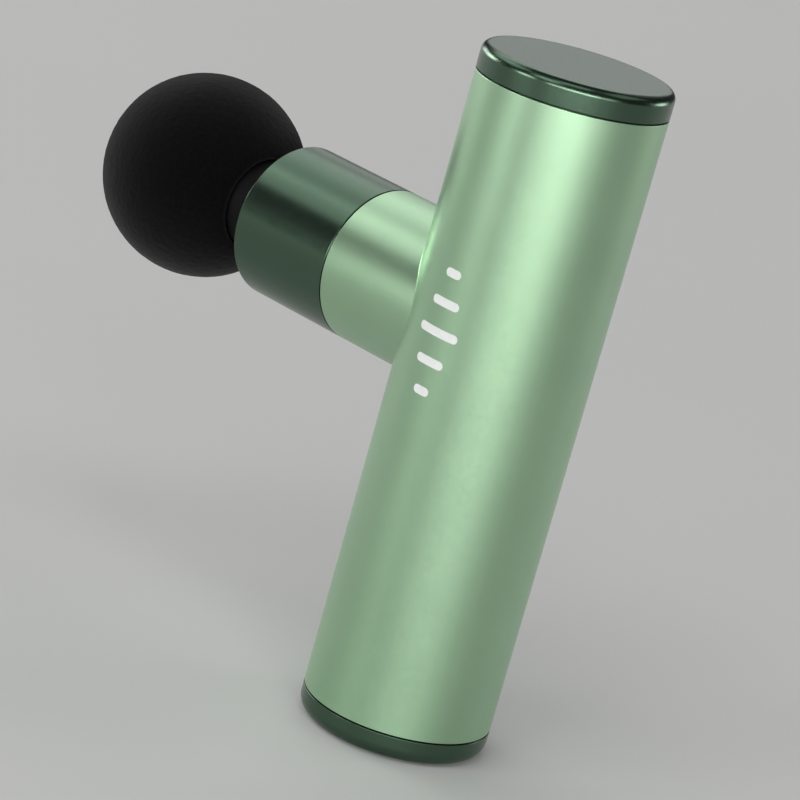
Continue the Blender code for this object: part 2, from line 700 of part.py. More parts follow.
# ---------------------------------------------------------------- yoke, piston and head
def build_piston(steel, aluminium, piston):
    """Local +Z is forward, local +X is up."""
    plate = box_outline(YOKE_HALF_THICKNESS, YOKE_HALF_WIDTH)
    yoke = prism("yoke", plate, -YOKE_HALF_LENGTH, YOKE_HALF_LENGTH, piston, steel)
    bevel(yoke, 2 * EDGE)
    rod = rod_profile(YOKE_ROD_RADIUS, YOKE_HALF_LENGTH - PAST, PISTON_REAR + ROD_DEPTH)
    join(yoke, turned("yoke_rod", rod, MEDIUM, piston))
    slot = capsule_outline(CRANK_THROW + SLOT_HALF_WIDTH + GAP, SLOT_HALF_WIDTH)
    half = YOKE_HALF_THICKNESS + PAST
    slot_cutter = prism("yoke_slot", slot, -half, half, piston)
    slot_cutter.rotation_euler = (0, math.pi / 2, 0)
    cut(yoke, slot_cutter)

    bore = YOKE_ROD_RADIUS + FIT
    bore_end = PISTON_REAR + ROD_HOLE_DEPTH
    profile = [
        (0, bore_end),
        (bore, bore_end),
        (bore, PISTON_REAR),
        (PISTON_RADIUS - EDGE, PISTON_REAR),
        (PISTON_RADIUS, PISTON_REAR + EDGE),
        (PISTON_RADIUS, PISTON_FRONT - EDGE),
        (PISTON_RADIUS - EDGE, PISTON_FRONT),
        (SOCKET_RADIUS + EDGE, PISTON_FRONT),
        (SOCKET_RADIUS, PISTON_FRONT - EDGE),
        (SOCKET_RADIUS, SOCKET_FLOOR),
        (0, SOCKET_FLOOR),
    ]
    turned("piston_tube", profile, MEDIUM, piston, aluminium)


def sphere_wall(outer, inner, mouth, outer_steps, inner_steps):
    """Profile of a hollow ball about BALL_REACH, open towards the rear with a mouth of the given radius."""
    outer_start = -math.degrees(math.acos(mouth / outer))
    inner_start = -math.degrees(math.acos(mouth / inner))
    inside = arc(0, BALL_REACH, inner, 90, inner_start, inner_steps)
    outside = arc(0, BALL_REACH, outer, outer_start, 90, outer_steps)
    inside[0] = (0, inside[0][1])
    outside[-1] = (0, outside[-1][1])
    return inside + outside


def build_head(plastic, rubber, foam, head):
    """Plug with two rings, the flange and boss that hold the ball, and the ball's core and foam."""
    plug = 0.0056
    plug_end = SOCKET_FLOOR + 0.0016
    plug_edge = 0.0010
    groove = plug - 0.0009
    groove_width = 0.0020
    seat = PISTON_FRONT + GAP
    profile = [(0, plug_end), (plug - plug_edge, plug_end), (plug, plug_end + plug_edge)]
    for name, low in (("head_ring_inner", 0.0360), ("head_ring_outer", 0.0520)):
        high = low + groove_width
        profile += [(plug, low), (groove, low), (groove, high), (plug, high)]
        ring = ring_profile(groove + FIT, SOCKET_RADIUS - 0.0002, low + GAP, high - GAP)
        turned(name, ring, MEDIUM, head, rubber)
    shoulder = 0.0006
    flange_end = BALL_REACH - 0.0155
    boss = STEM_RADIUS - 0.0040
    boss_end = flange_end + 0.0060
    profile += [
        (plug, seat),
        (STEM_RADIUS - shoulder, seat),
        (STEM_RADIUS, seat + shoulder),
        (STEM_RADIUS, flange_end),
        (boss, flange_end),
        (boss, boss_end),
        (0, boss_end),
    ]
    turned("head_stem", profile, PLAIN, head, plastic)
    skin = 0.0030
    core_wall = 0.0015
    core = BALL_RADIUS - skin - 3 * GAP
    mouth = STEM_RADIUS + GAP
    turned("ball_core", sphere_wall(core, core - core_wall, mouth, 7, 4), PLAIN, head, plastic)
    turned("ball_head", sphere_wall(BALL_RADIUS, BALL_RADIUS - skin, mouth, 12, 8), ROUND, head, foam)


# ---------------------------------------------------------------- battery and boards
def build_battery(holder_material, cell_material, base):
    nub = 0.0024
    shoulder = CELL_HIGH - 0.0014
    profile = [
        (0, CELL_LOW),
        (CELL_RADIUS - EDGE, CELL_LOW),
        (CELL_RADIUS, CELL_LOW + EDGE),
        (CELL_RADIUS, shoulder - EDGE),
        (CELL_RADIUS - EDGE, shoulder),
        (nub, shoulder),
        (nub, CELL_HIGH),
        (0, CELL_HIGH),
    ]
    for number, degrees in enumerate(CELL_ANGLES, 1):
        place = spot(CELL_CIRCLE, degrees)
        turned(f"battery_cell_{number}", profile, COARSE, base, cell_material, place)

    upper_low = CELL_HIGH + GAP
    lower = rod_profile(HOLDER_RADIUS, HOLDER_LOW, CELL_LOW - GAP)
    upper = rod_profile(HOLDER_RADIUS, upper_low, HOLDER_HIGH)
    holder = turned("battery_holder", lower, MEDIUM, base, holder_material)
    join(holder, turned("holder_top", upper, MEDIUM, base))
    for number, degrees in enumerate(RIB_ANGLES, 1):
        rib = rod_profile(RIB_RADIUS, HOLDER_LOW + EDGE, HOLDER_HIGH - EDGE)
        place = spot(RIB_CIRCLE, degrees)
        join(holder, turned(f"holder_rib_{number}", rib, SMALL, base, location=place))
    contact = 0.0035
    for number, degrees in enumerate(CELL_ANGLES, 1):
        place = spot(CELL_CIRCLE, degrees)
        drill_through(holder, f"contact_hole_{number}", contact, upper_low, HOLDER_HIGH, base, place)
    hole = BOARD_SCREW.shank_radius + TAPPED_HOLE
    hole_bottom = HOLDER_HIGH - 0.0035
    for number, degrees in enumerate(RIB_ANGLES[:2], 1):
        place = spot(RIB_CIRCLE, degrees)
        drill(holder, f"rib_hole_{number}", hole, hole_bottom, HOLDER_HIGH + PAST, base, place, TINY)
    notch_for_wires(holder, "holder", HOLDER_LOW, HOLDER_HIGH, base)


def notch_for_wires(target, label, low, high, base):
    """Open notches in the rim at each lead."""
    notch = box_outline(3 * WIRE_RADIUS, WIRE_RADIUS + 0.0005)
    for degrees in WIRE_ANGLES:
        cutter = prism(f"{label}_notch_{degrees}", notch, low - PAST, high + PAST, base)
        cutter.location = spot(WIRE_CIRCLE + 0.0008, degrees)
        cutter.rotation_euler = (0, 0, math.radians(degrees))
        cut(target, cutter)


def build_board(name, radius, low, high, screws, material, base):
    """A round board with its screw holes; screws is the circle of those holes and their angles."""
    board = turned(name, rod_profile(radius, low, high), MEDIUM, base, material)
    circle, angles = screws
    hole = BOARD_SCREW.shank_radius + CLEAR_HOLE
    for number, degrees in enumerate(angles, 1):
        drill_through(board, f"{name}_hole_{number}", hole, low, high, base, spot(circle, degrees), TINY)
    return board


def add_chip(board, name, half_x, half_y, top, height, place, base):
    """Adds one component that stands on the board's top and reaches a little into it."""
    sunk = 0.0005
    outline = box_outline(half_x, half_y)
    join(board, prism(name, outline, top - sunk, top + height, base, location=(*place, 0)))


def build_boards(material, base):
    top = MAIN_BOARD_HIGH
    screws = (RIB_CIRCLE, RIB_ANGLES[:2])
    board = build_board("main_board", HOLDER_RADIUS, MAIN_BOARD_LOW, top, screws, material, base)
    notch_for_wires(board, "main", MAIN_BOARD_LOW, top, base)
    add_chip(board, "controller_chip", 0.0025, 0.0025, top, CHIP_HEIGHT, (-0.0030, -0.0030), base)
    for number in range(3):
        place = (-0.0060 + 0.0045 * number, 0.0055)
        add_chip(board, f"power_chip_{number + 1}", 0.0016, 0.0015, top, CHIP_HEIGHT, place, base)
    capacitor = rod_profile(0.0030, top - 0.0005, top + 0.0042)
    join(board, turned("capacitor", capacitor, SMALL, base, location=(0.0020, -0.0100, 0)))

    top = CONTROL_BOARD_HIGH
    low, screws = CONTROL_BOARD_LOW, (POST_CIRCLE, POST_ANGLES)
    board = build_board("control_board", CONTROL_BOARD_RADIUS, low, top, screws, material, base)
    add_chip(board, "charger_chip", 0.0022, 0.0022, top, CHIP_HEIGHT, (-0.0040, 0.0020), base)
    add_chip(board, "lead_connector", 0.0020, 0.0030, top, 2 * CHIP_HEIGHT, (0.0060, 0), base)


# ---------------------------------------------------------------- controls
def build_switch(steel, base):
    top = CONTROL_BOARD_LOW - GAP
    low = top - 0.0025
    half = 0.0030
    place = (BUTTON_X, 0, 0)
    switch = prism("tact_switch", box_outline(half, half), low, top, base, steel, place)
    plunger = rod_profile(0.0017, low - 0.0006, low + 0.0005)
    join(switch, turned("switch_plunger", plunger, SMALL, base, location=place))


def build_port(steel, base):
    """A stadium-shaped shell, open below, with a tongue in the middle."""
    top = CONTROL_BOARD_LOW - GAP
    place = (PORT_X, 0, 0)
    outside = capsule_outline(PORT_HALF_LENGTH, PORT_HALF_WIDTH)
    port = prism("usb_receptacle", outside, PORT_RECESS, top, base, steel, place)
    inside = capsule_outline(PORT_HALF_LENGTH - PORT_WALL, PORT_HALF_WIDTH - PORT_WALL)
    hollow_top = top - 0.0008
    cut(port, prism("port_hollow", inside, PORT_RECESS - PAST, hollow_top, base, location=place))
    tongue = box_outline(0.00035, 0.0033)
    tongue_low = PORT_RECESS + 0.0008
    join(port, prism("port_tongue", tongue, tongue_low, hollow_top + EDGE, base, location=place))


def build_light_guide(clear, base):
    """Four light pipes on one curved rail."""
    rail_low = 0.0045
    rail_high = rail_low + 0.0010
    half = 0.0008
    steps = 10
    first, last = LIGHT_ANGLES[0], LIGHT_ANGLES[-1]
    angles = [first + (last - first) * step / steps for step in range(steps + 1)]
    outer = [polar(LIGHT_CIRCLE + half, degrees) for degrees in angles]
    inner = [polar(LIGHT_CIRCLE - half, degrees) for degrees in reversed(angles)]
    guide = prism("light_guide", outer + inner, rail_low, rail_high, base, clear, (BUTTON_X, 0, 0))
    pipe = rod_profile(LIGHT_RADIUS, LIGHT_RECESS, CONTROL_BOARD_LOW - 0.0005)
    for number, degrees in enumerate(LIGHT_ANGLES, 1):
        x, y = polar(LIGHT_CIRCLE, degrees)
        join(guide, turned(f"light_pipe_{number}", pipe, TINY, base, location=(BUTTON_X + x, y, 0)))


def build_button(plastic, button):
    """A round key with the flange that keeps it in, and a nub that meets the switch."""
    flange_low = CAP_WALL + GAP
    flange_high = flange_low + 0.0007
    flange = BUTTON_RADIUS + BUTTON_FLANGE
    nub = 0.0015
    nub_top = flange_high + 0.0004
    profile = [
        (0, BUTTON_RECESS),
        (BUTTON_RADIUS - EDGE, BUTTON_RECESS),
        (BUTTON_RADIUS, BUTTON_RECESS + EDGE),
        (BUTTON_RADIUS, flange_low),
        (flange, flange_low),
        (flange, flange_high),
        (nub, flange_high),
        (nub, nub_top),
        (0, nub_top),
    ]
    turned("power_button", profile, MEDIUM, button, plastic)


# ---------------------------------------------------------------- leads
def step_towards(start, end, distance):
    length = math.dist(start, end)
    return tuple(a + (b - a) * distance / length for a, b in zip(start, end))


def rounded_route(corners):
    """The (radius, height) points of a route whose inner corners are curved."""
    route = [corners[0]]
    for before, corner, after in zip(corners, corners[1:], corners[2:]):
        entry = step_towards(corner, before, WIRE_BEND)
        leave = step_towards(corner, after, WIRE_BEND)
        for step in range(BEND_STEPS + 1):
            share = step / BEND_STEPS
            shares = ((1 - share) ** 2, 2 * share * (1 - share), share**2)
            curve = zip(entry, corner, leave)
            route.append(tuple(sum(s * value for s, value in zip(shares, values)) for values in curve))
    route.append(corners[-1])
    return route


def lead(name, corners, degrees, radius, material, base):
    """A round lead in the upright plane at the given angle."""
    route = rounded_route(corners)
    curve = bpy.data.curves.new(name, "CURVE")
    curve.dimensions = "3D"
    curve.bevel_depth = radius
    curve.bevel_resolution = 2
    curve.use_fill_caps = True
    spline = curve.splines.new("POLY")
    spline.points.add(len(route) - 1)
    for point, (distance, height) in zip(spline.points, route):
        point.co = (*spot(distance, degrees, height), 1)
    obj = bpy.data.objects.new(name, curve)
    bpy.context.collection.objects.link(obj)
    obj.parent = base
    curve.materials.append(material)


def build_leads(red, black, base):
    """Each lead goes up past its board or frame, over, and down to its pad on the main board."""
    over = MAIN_BOARD_HIGH + 0.0028
    inboard = WIRE_CIRCLE - 0.0026
    finish_at_pad = [(inboard, over), (inboard, MAIN_BOARD_HIGH + WIRE_LIFT)]
    control = [(WIRE_CIRCLE, CONTROL_BOARD_HIGH + WIRE_LIFT), (WIRE_CIRCLE, over), *finish_at_pad]
    battery = [(WIRE_CIRCLE, HOLDER_LOW), (WIRE_CIRCLE, over), *finish_at_pad]
    lead("control_lead", control, WIRE_ANGLES[0], WIRE_RADIUS, black, base)
    lead("battery_lead_red", battery, WIRE_ANGLES[1], WIRE_RADIUS, red, base)
    lead("battery_lead_black", battery, WIRE_ANGLES[2], WIRE_RADIUS, black, base)
    outside = (FRAME_RADIUS + BODY_BORE) / 2
    leave = FLANGE_HIGH + 0.0011
    motor = [(0.0115, leave), (outside, leave), (outside, over), *finish_at_pad]
    lead("motor_lead", motor, MOTOR_LEAD_ANGLE, MOTOR_LEAD_RADIUS, black, base)


# ---------------------------------------------------------------- assembly
def main():
    clear_scene()
    light_green = make_material("light_green_aluminium", (0.35, 0.58, 0.35), 0.35, 1.0)
    dark_green = make_material("dark_green_aluminium", (0.03, 0.07, 0.04), 0.30, 1.0)
    foam = make_material("black_foam", (0.012, 0.012, 0.012), 0.90, 0.0)
    rubber = make_material("black_rubber", (0.02, 0.02, 0.02), 0.80, 0.0)
    plastic = make_material("black_plastic", (0.03, 0.03, 0.03), 0.50, 0.0)
    chassis = make_material("grey_plastic", (0.25, 0.26, 0.27), 0.55, 0.0)
    aluminium = make_material("bare_aluminium", (0.75, 0.75, 0.76), 0.35, 1.0)
    bronze = make_material("bronze", (0.60, 0.38, 0.18), 0.40, 1.0)
    steel = make_material("steel", (0.60, 0.60, 0.60), 0.25, 1.0)
    dark_steel = make_material("dark_steel", (0.12, 0.12, 0.13), 0.40, 1.0)
    copper = make_material("copper", (0.70, 0.30, 0.12), 0.35, 1.0)
    cell = make_material("cell_wrap", (0.05, 0.16, 0.35), 0.45, 0.0)
    board = make_material("circuit_board", (0.02, 0.16, 0.06), 0.50, 0.0)
    clear = make_material("clear_plastic", (0.80, 0.82, 0.80), 0.20, 0.0)
    red = make_material("red_wire", (0.50, 0.02, 0.02), 0.50, 0.0)

    forward = (0, -math.pi / 2, 0)
    neck_centre = (0, 0, NECK_HEIGHT)
    base = make_empty("housing", (0, 0, 0))
    neck = make_empty("neck_axis", neck_centre, forward, base)
    crank = make_empty("crank_axis", neck_centre, parent=base)
    piston = make_empty("piston_axis", neck_centre, forward, base)
    head = make_empty("head_axis", (0, 0, 0), parent=piston)
    button = make_empty("button_axis", (BUTTON_X, 0, 0), parent=base)

    build_body_shell(light_green, base, neck)
    build_top_cap(dark_green, rubber, base)
    build_base_cap(dark_green, rubber, base)
    build_collar(dark_green, rubber, neck)
    build_frame(chassis, base, neck)
    build_dampers(rubber, base)
    build_guide(aluminium, bronze, neck)
    build_screws(steel, base, neck)
    build_motor_fixed(aluminium, steel, copper, base)
    build_rotor(steel, dark_steel, crank)
    build_crank(steel, dark_steel, crank)
    build_piston(steel, aluminium, piston)
    build_head(plastic, rubber, foam, head)
    build_battery(plastic, cell, base)
    build_boards(board, base)
    build_switch(steel, base)
    build_port(steel, base)
    build_light_guide(clear, base)
    build_button(plastic, button)
    build_leads(red, plastic, base)


main()
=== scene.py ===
"""Looks of the massage gun: fine surfaces, materials, floor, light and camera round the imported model.

Metres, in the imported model's own frame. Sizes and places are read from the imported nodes; the values
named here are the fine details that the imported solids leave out, such as rounded edges.
"""

import json
import math

import bmesh
import bpy
from mathutils import Matrix, Vector, noise

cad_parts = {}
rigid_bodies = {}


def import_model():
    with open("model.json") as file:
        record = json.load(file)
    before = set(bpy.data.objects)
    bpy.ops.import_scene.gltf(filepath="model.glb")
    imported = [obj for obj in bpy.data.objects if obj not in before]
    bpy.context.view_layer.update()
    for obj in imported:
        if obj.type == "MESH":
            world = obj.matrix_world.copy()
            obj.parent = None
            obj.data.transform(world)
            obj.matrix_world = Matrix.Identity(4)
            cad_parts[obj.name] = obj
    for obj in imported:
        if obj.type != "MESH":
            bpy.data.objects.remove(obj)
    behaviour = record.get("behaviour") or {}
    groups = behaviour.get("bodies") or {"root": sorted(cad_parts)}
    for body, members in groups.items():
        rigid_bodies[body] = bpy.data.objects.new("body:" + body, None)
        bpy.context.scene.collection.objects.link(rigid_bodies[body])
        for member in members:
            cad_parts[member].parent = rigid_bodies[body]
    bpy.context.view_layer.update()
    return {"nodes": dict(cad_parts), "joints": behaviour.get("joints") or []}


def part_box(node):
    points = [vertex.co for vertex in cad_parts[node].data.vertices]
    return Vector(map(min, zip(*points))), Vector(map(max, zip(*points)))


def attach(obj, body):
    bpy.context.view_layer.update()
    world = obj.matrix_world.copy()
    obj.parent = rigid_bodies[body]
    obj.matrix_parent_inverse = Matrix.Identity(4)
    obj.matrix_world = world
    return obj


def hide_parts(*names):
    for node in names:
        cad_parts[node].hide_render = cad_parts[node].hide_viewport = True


for startup_object in list(bpy.data.objects):
    bpy.data.objects.remove(startup_object)
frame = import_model()

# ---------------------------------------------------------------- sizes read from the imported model
joints = {joint["name"]: joint for joint in frame["joints"]}
NECK_HEIGHT = joints["crank_turn"]["pos_m"][2]

shell_low, shell_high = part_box("body_shell")
BODY_RADIUS = shell_high.x
TUBE_BOTTOM = shell_low.z
TUBE_TOP = shell_high.z
NECK_END = -shell_low.x

collar_low, collar_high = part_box("front_collar")
NECK_RADIUS = collar_high.y
COLLAR_FRONT = -collar_low.x
COLLAR_REAR = -collar_high.x

top_cap_low, top_cap_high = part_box("top_cap")
base_cap_low, base_cap_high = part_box("base_cap")

wiper_low, wiper_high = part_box("front_wiper")
WIPER_RADIUS = wiper_high.y
WIPER_REAR = -wiper_high.x
WIPER_FRONT = -wiper_low.x

piston_low, piston_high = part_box("piston_tube")
PISTON_RADIUS = piston_high.y
PISTON_REAR = -piston_high.x
PISTON_FRONT = -piston_low.x

stem_low, stem_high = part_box("head_stem")
STEM_RADIUS = stem_high.y
STEM_FRONT = -stem_low.x
PLUG_REAR = -stem_high.x

ball_low, ball_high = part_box("ball_head")
BALL_RADIUS = ball_high.y
BALL_REACH = -ball_low.x - BALL_RADIUS

button_low, button_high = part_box("power_button")
port_low, port_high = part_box("usb_receptacle")
guide_low, guide_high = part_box("light_guide")

# ---------------------------------------------------------------- fine details
SEAM = 0.0003
BODY_WALL = 0.0015
SHELL_EDGE = 0.00012
FOOT_FILLET = 0.0004
CAP_TOP_FILLET = 0.0019
CAP_BASE_FILLET = 0.0030
CAP_EDGE = 0.00012
CAP_WALL = 0.0022
SPIGOT_WALL = 0.0018
COLLAR_RIM = 0.0020
COLLAR_EDGE = 0.00035
FOAM_SKIN = 0.0030
FOAM_LIP = 0.0007
PLUG_RADIUS = 0.0056
SOCKET_RADIUS = 0.0063

SIDES = 192
FILLET_STEP = math.radians(9)
SHARP_ANGLE = math.radians(32)
SLIVER = 0.000002

# ---------------------------------------------------------------- places
UPRIGHT = Matrix.Identity(4)
NECK_AXIS = Matrix.Translation((0, 0, NECK_HEIGHT)) @ Matrix.Rotation(math.radians(-90), 4, "Y")


# ---------------------------------------------------------------- mesh tools
def polar(radius, angle):
    return Vector((radius * math.cos(angle), radius * math.sin(angle)))


def new_object(name, mesh, material):
    obj = bpy.data.objects.new(name, mesh)
    bpy.context.scene.collection.objects.link(obj)
    mesh.materials.clear()
    mesh.materials.append(material)
    return obj


def mesh_from(name, points, faces):
    """A smooth-shaded mesh with its faces turned outwards."""
    mesh = bpy.data.meshes.new(name)
    mesh.from_pydata(points, [], faces)
    bm = bmesh.new()
    bm.from_mesh(mesh)
    bmesh.ops.recalc_face_normals(bm, faces=bm.faces)
    bm.to_mesh(mesh)
    bm.free()
    mesh.shade_smooth()
    return mesh


def keep_edges(obj):
    """Sharp edges stay sharp, and flat faces beside a fillet stay flat in the shading."""
    obj.data.set_sharp_from_angle(angle=SHARP_ANGLE)
    weighting = obj.modifiers.new("even_normals", "WEIGHTED_NORMAL")
    weighting.keep_sharp = True
    return obj


def rounded(corners, closed=False):
    """An outline through corners (radius, height, fillet), each one rounded by its own fillet."""
    points = []
    count = len(corners)
    for index, (radius, height, fillet) in enumerate(corners):
        corner = Vector((radius, height))
        at_end = not closed and index in (0, count - 1)
        if fillet == 0 or at_end:
            points.append(corner)
            continue
        before = Vector(corners[index - 1][:2]) - corner
        after = Vector(corners[(index + 1) % count][:2]) - corner
        half = before.angle(after) / 2
        middle = (before.normalized() + after.normalized()).normalized()
        centre = corner + middle * fillet / math.sin(half)
        start = corner + before.normalized() * fillet / math.tan(half) - centre
        sweep = math.pi - 2 * half
        if before.cross(after) > 0:
            sweep = -sweep
        steps = max(2, round(abs(sweep) / FILLET_STEP))
        for step in range(steps + 1):
            points.append(centre + Matrix.Rotation(sweep * step / steps, 2) @ start)
    return points


def spin(outline, place, sides):
    """Points and faces of an outline of (radius, height) points turned about the place's own +Z."""
    points, rows, faces = [], [], []
    for radius, height in outline:
        count = sides if radius > 1e-7 else 1
        row = []
        for side in range(count):
            x, y = polar(radius, math.tau * side / sides)
            row.append(len(points))
            points.append(place @ Vector((x, y, height)))
        rows.append(row)
    pairs = list(zip(rows, rows[1:]))
    if len(rows[0]) > 1:
        pairs.append((rows[-1], rows[0]))
    for first, second in pairs:
        for side in range(sides):
            after = (side + 1) % sides
            corners = [first[side % len(first)], first[after % len(first)]]
            corners += [second[after % len(second)], second[side % len(second)]]
            face = list(dict.fromkeys(corners))
            if len(face) > 2:
                faces.append(face)
    return points, faces


def turned(name, corners, material, place=UPRIGHT, sides=SIDES, closed=False):
    """A turned piece: a solid where its corners run from axis to axis, and a ring where closed."""
    points, faces = spin(rounded(corners, closed), place, sides)
    return keep_edges(new_object(name, mesh_from(name, points, faces), material))


def bridge(first, second):
    """Faces between two closed rows of point numbers."""
    count = len(first)
    faces = []
    for index in range(count):
        after = (index + 1) % count
        faces.append((first[index], first[after], second[after], second[index]))
    return faces


def lofted(name, rows, material):
    """Bridges rows of points, all of the same length, and closes the two ends."""
    points, faces, previous = [], [], None
    for row in rows:
        numbers = list(range(len(points), len(points) + len(row)))
        points += row
        if previous:
            faces += bridge(previous, numbers)
        previous = numbers
    faces.append(tuple(range(len(rows[0]))))
    faces.append(tuple(previous))
    return keep_edges(new_object(name, mesh_from(name, points, faces), material))


def capsule(half_length, half_width, height, steps=16):
    """A row of points round a slot's outline, long in Y, at one height."""
    straight = half_length - half_width
    row = []
    for side, start in ((1, 0), (-1, math.pi)):
        for step in range(steps + 1):
            x, y = polar(half_width, start + math.pi * step / steps)
            row.append(Vector((x, y + side * straight, height)))
    return row


def moved(rows, offset):
    return [[point + Vector(offset) for point in row] for row in rows]


def cut(obj, cutters):
    """Cuts the cutters out of the object for good, and keeps its edges."""
    for cutter in cutters:
        boolean = obj.modifiers.new(cutter.name, "BOOLEAN")
        boolean.operation = "DIFFERENCE"
        boolean.solver = "EXACT"
        boolean.object = cutter
    obj.modifiers.remove(obj.modifiers["even_normals"])
    graph = bpy.context.evaluated_depsgraph_get()
    carved = bpy.data.meshes.new_from_object(obj.evaluated_get(graph))
    obj.modifiers.clear()
    obj.data = carved
    bm = bmesh.new()
    bm.from_mesh(carved)
    bmesh.ops.remove_doubles(bm, verts=bm.verts, dist=SLIVER)
    bmesh.ops.dissolve_degenerate(bm, edges=bm.edges, dist=SLIVER)
    bm.to_mesh(carved)
    bm.free()
    # the cut mesh keeps the normals of its uncut parts, and with them the new edges would look soft
    carved.attributes.remove(carved.attributes["custom_normal"])
    carved.shade_smooth()
    for cutter in cutters:
        bpy.data.objects.remove(cutter)
    return keep_edges(obj)


def merged(obj, others):
    """Joins other objects into this one."""
    with bpy.context.temp_override(active_object=obj, selected_editable_objects=[obj, *others]):
        bpy.ops.object.join()
    return obj


# ---------------------------------------------------------------- materials
class Recipe:
    """A Principled material whose surface is made from noise in the object's own coordinates."""

    def __init__(self, name, colour, roughness, metallic=0.0, **constants):
        self.material = bpy.data.materials.new(name)
        self.material.use_nodes = True
        tree = self.material.node_tree
        self.nodes, self.links = tree.nodes, tree.links
        self.shader = self.nodes["Principled BSDF"]
        self.shader.inputs["Base Color"].default_value = (*colour, 1)
        self.shader.inputs["Roughness"].default_value = roughness
        self.shader.inputs["Metallic"].default_value = metallic
        for socket, value in constants.items():
            self.shader.inputs[socket.replace("_", " ")].default_value = value
        self.coordinates = self.nodes.new("ShaderNodeTexCoord").outputs["Object"]

    def place(self, scale):
        """The object's coordinates, scaled, so that a texture can be longer one way."""
        mapping = self.nodes.new("ShaderNodeMapping")
        mapping.inputs["Scale"].default_value = scale
        self.links.new(self.coordinates, mapping.inputs["Vector"])
        return mapping.outputs["Vector"]

    def noise(self, size, detail=2.0, stretch=(1, 1, 1)):
        """Noise whose grains measure about size metres."""
        texture = self.nodes.new("ShaderNodeTexNoise")
        texture.inputs["Scale"].default_value = 1.0
        texture.inputs["Detail"].default_value = detail
        scale = [share / size for share in stretch]
        self.links.new(self.place(scale), texture.inputs["Vector"])
        return texture.outputs["Fac"]

    def cells(self, size, feature="F1"):
        texture = self.nodes.new("ShaderNodeTexVoronoi")
        texture.feature = feature
        texture.inputs["Scale"].default_value = 1.0
        self.links.new(self.place((1 / size,) * 3), texture.inputs["Vector"])
        return texture.outputs["Distance"]

    def bands(self, width):
        """Even level bands, each one and its gap together as wide as given."""
        one_band_each_unit = math.tau / 20
        texture = self.nodes.new("ShaderNodeTexWave")
        texture.wave_type = "BANDS"
        texture.bands_direction = "Z"
        texture.wave_profile = "SIN"
        texture.inputs["Scale"].default_value = one_band_each_unit
        self.links.new(self.place((1 / width,) * 3), texture.inputs["Vector"])
        return texture.outputs["Fac"]

    def ranged(self, source, low, high, start=0.3, end=0.7):
        """Maps a source between start and end to between low and high."""
        mapping = self.nodes.new("ShaderNodeMapRange")
        mapping.inputs["From Min"].default_value = start
        mapping.inputs["From Max"].default_value = end
        mapping.inputs["To Min"].default_value = low
        mapping.inputs["To Max"].default_value = high
        self.links.new(source, mapping.inputs["Value"])
        return mapping.outputs["Result"]

    def tint(self, source, first, second, start=0.3, end=0.7):
        """Base colour from first to second as the source goes from start to end."""
        ramp = self.nodes.new("ShaderNodeValToRGB")
        ramp.color_ramp.elements[0].position = start
        ramp.color_ramp.elements[0].color = (*first, 1)
        ramp.color_ramp.elements[1].position = end
        ramp.color_ramp.elements[1].color = (*second, 1)
        self.links.new(source, ramp.inputs["Fac"])
        self.links.new(ramp.outputs["Color"], self.shader.inputs["Base Color"])

    def dull(self, source, low, high):
        self.links.new(self.ranged(source, low, high), self.shader.inputs["Roughness"])

    def relief(self, source, height, under=None):
        """Bumps of about the given height in metres; under is the relief that they lie on."""
        bump = self.nodes.new("ShaderNodeBump")
        bump.inputs["Strength"].default_value = 1.0
        bump.inputs["Distance"].default_value = height
        self.links.new(source, bump.inputs["Height"])
        if under:
            self.links.new(under, bump.inputs["Normal"])
        self.links.new(bump.outputs["Normal"], self.shader.inputs["Normal"])
        return bump.outputs["Normal"]


def shaded(colour, share):
    return tuple(min(1.0, channel * share) for channel in colour)


def anodised(name, colour, roughness, depth):
    """Dyed aluminium: very fine level lines, which ring the tube and caps, and bead-blasted grain."""
    level_lines = (0.02, 0.02, 1)
    recipe = Recipe(name, colour, roughness, metallic=1.0)
    recipe.tint(recipe.noise(0.012, 3), shaded(colour, 0.975), shaded(colour, 1.02))
    recipe.dull(recipe.noise(0.0009, 4), roughness - 0.02, roughness + 0.02)
    lines = recipe.relief(recipe.noise(0.00012, 1, level_lines), depth)
    recipe.relief(recipe.noise(0.00016, 2), 0.0000016, lines)
    return recipe.material


def moulded(name, colour, roughness, grain=0.0003, **constants):
    """Injection moulded plastic with a fine spark-eroded grain."""
    recipe = Recipe(name, colour, roughness, **constants)
    recipe.tint(recipe.noise(0.008, 3), shaded(colour, 0.85), shaded(colour, 1.15))
    recipe.dull(recipe.noise(0.0012, 3), roughness - 0.06, roughness + 0.06)
    recipe.relief(recipe.noise(grain, 3), 0.000012)
    return recipe.material


def rubber(name, colour):
    """Matte rubber with a faint bloom."""
    recipe = Recipe(name, colour, 0.75)
    recipe.tint(recipe.noise(0.003, 4), shaded(colour, 0.8), shaded(colour, 1.5))
    recipe.dull(recipe.noise(0.0008, 3), 0.62, 0.85)
    recipe.relief(recipe.noise(0.0002, 2), 0.000008)
    return recipe.material


def foam(name, colour):
    """Closed-cell foam: tiny cells over soft unevenness, with a dusty sheen at grazing angles."""
    recipe = Recipe(name, colour, 0.95, Sheen_Weight=0.08, Sheen_Roughness=0.55, Specular_IOR_Level=0.0)
    recipe.tint(recipe.noise(0.0006, 4), shaded(colour, 0.7), shaded(colour, 1.5))
    recipe.dull(recipe.noise(0.004, 3), 0.82, 0.96)
    under = recipe.relief(recipe.noise(0.0012, 3), 0.00006)
    recipe.relief(recipe.cells(0.00035), 0.00005, under)
    return recipe.material


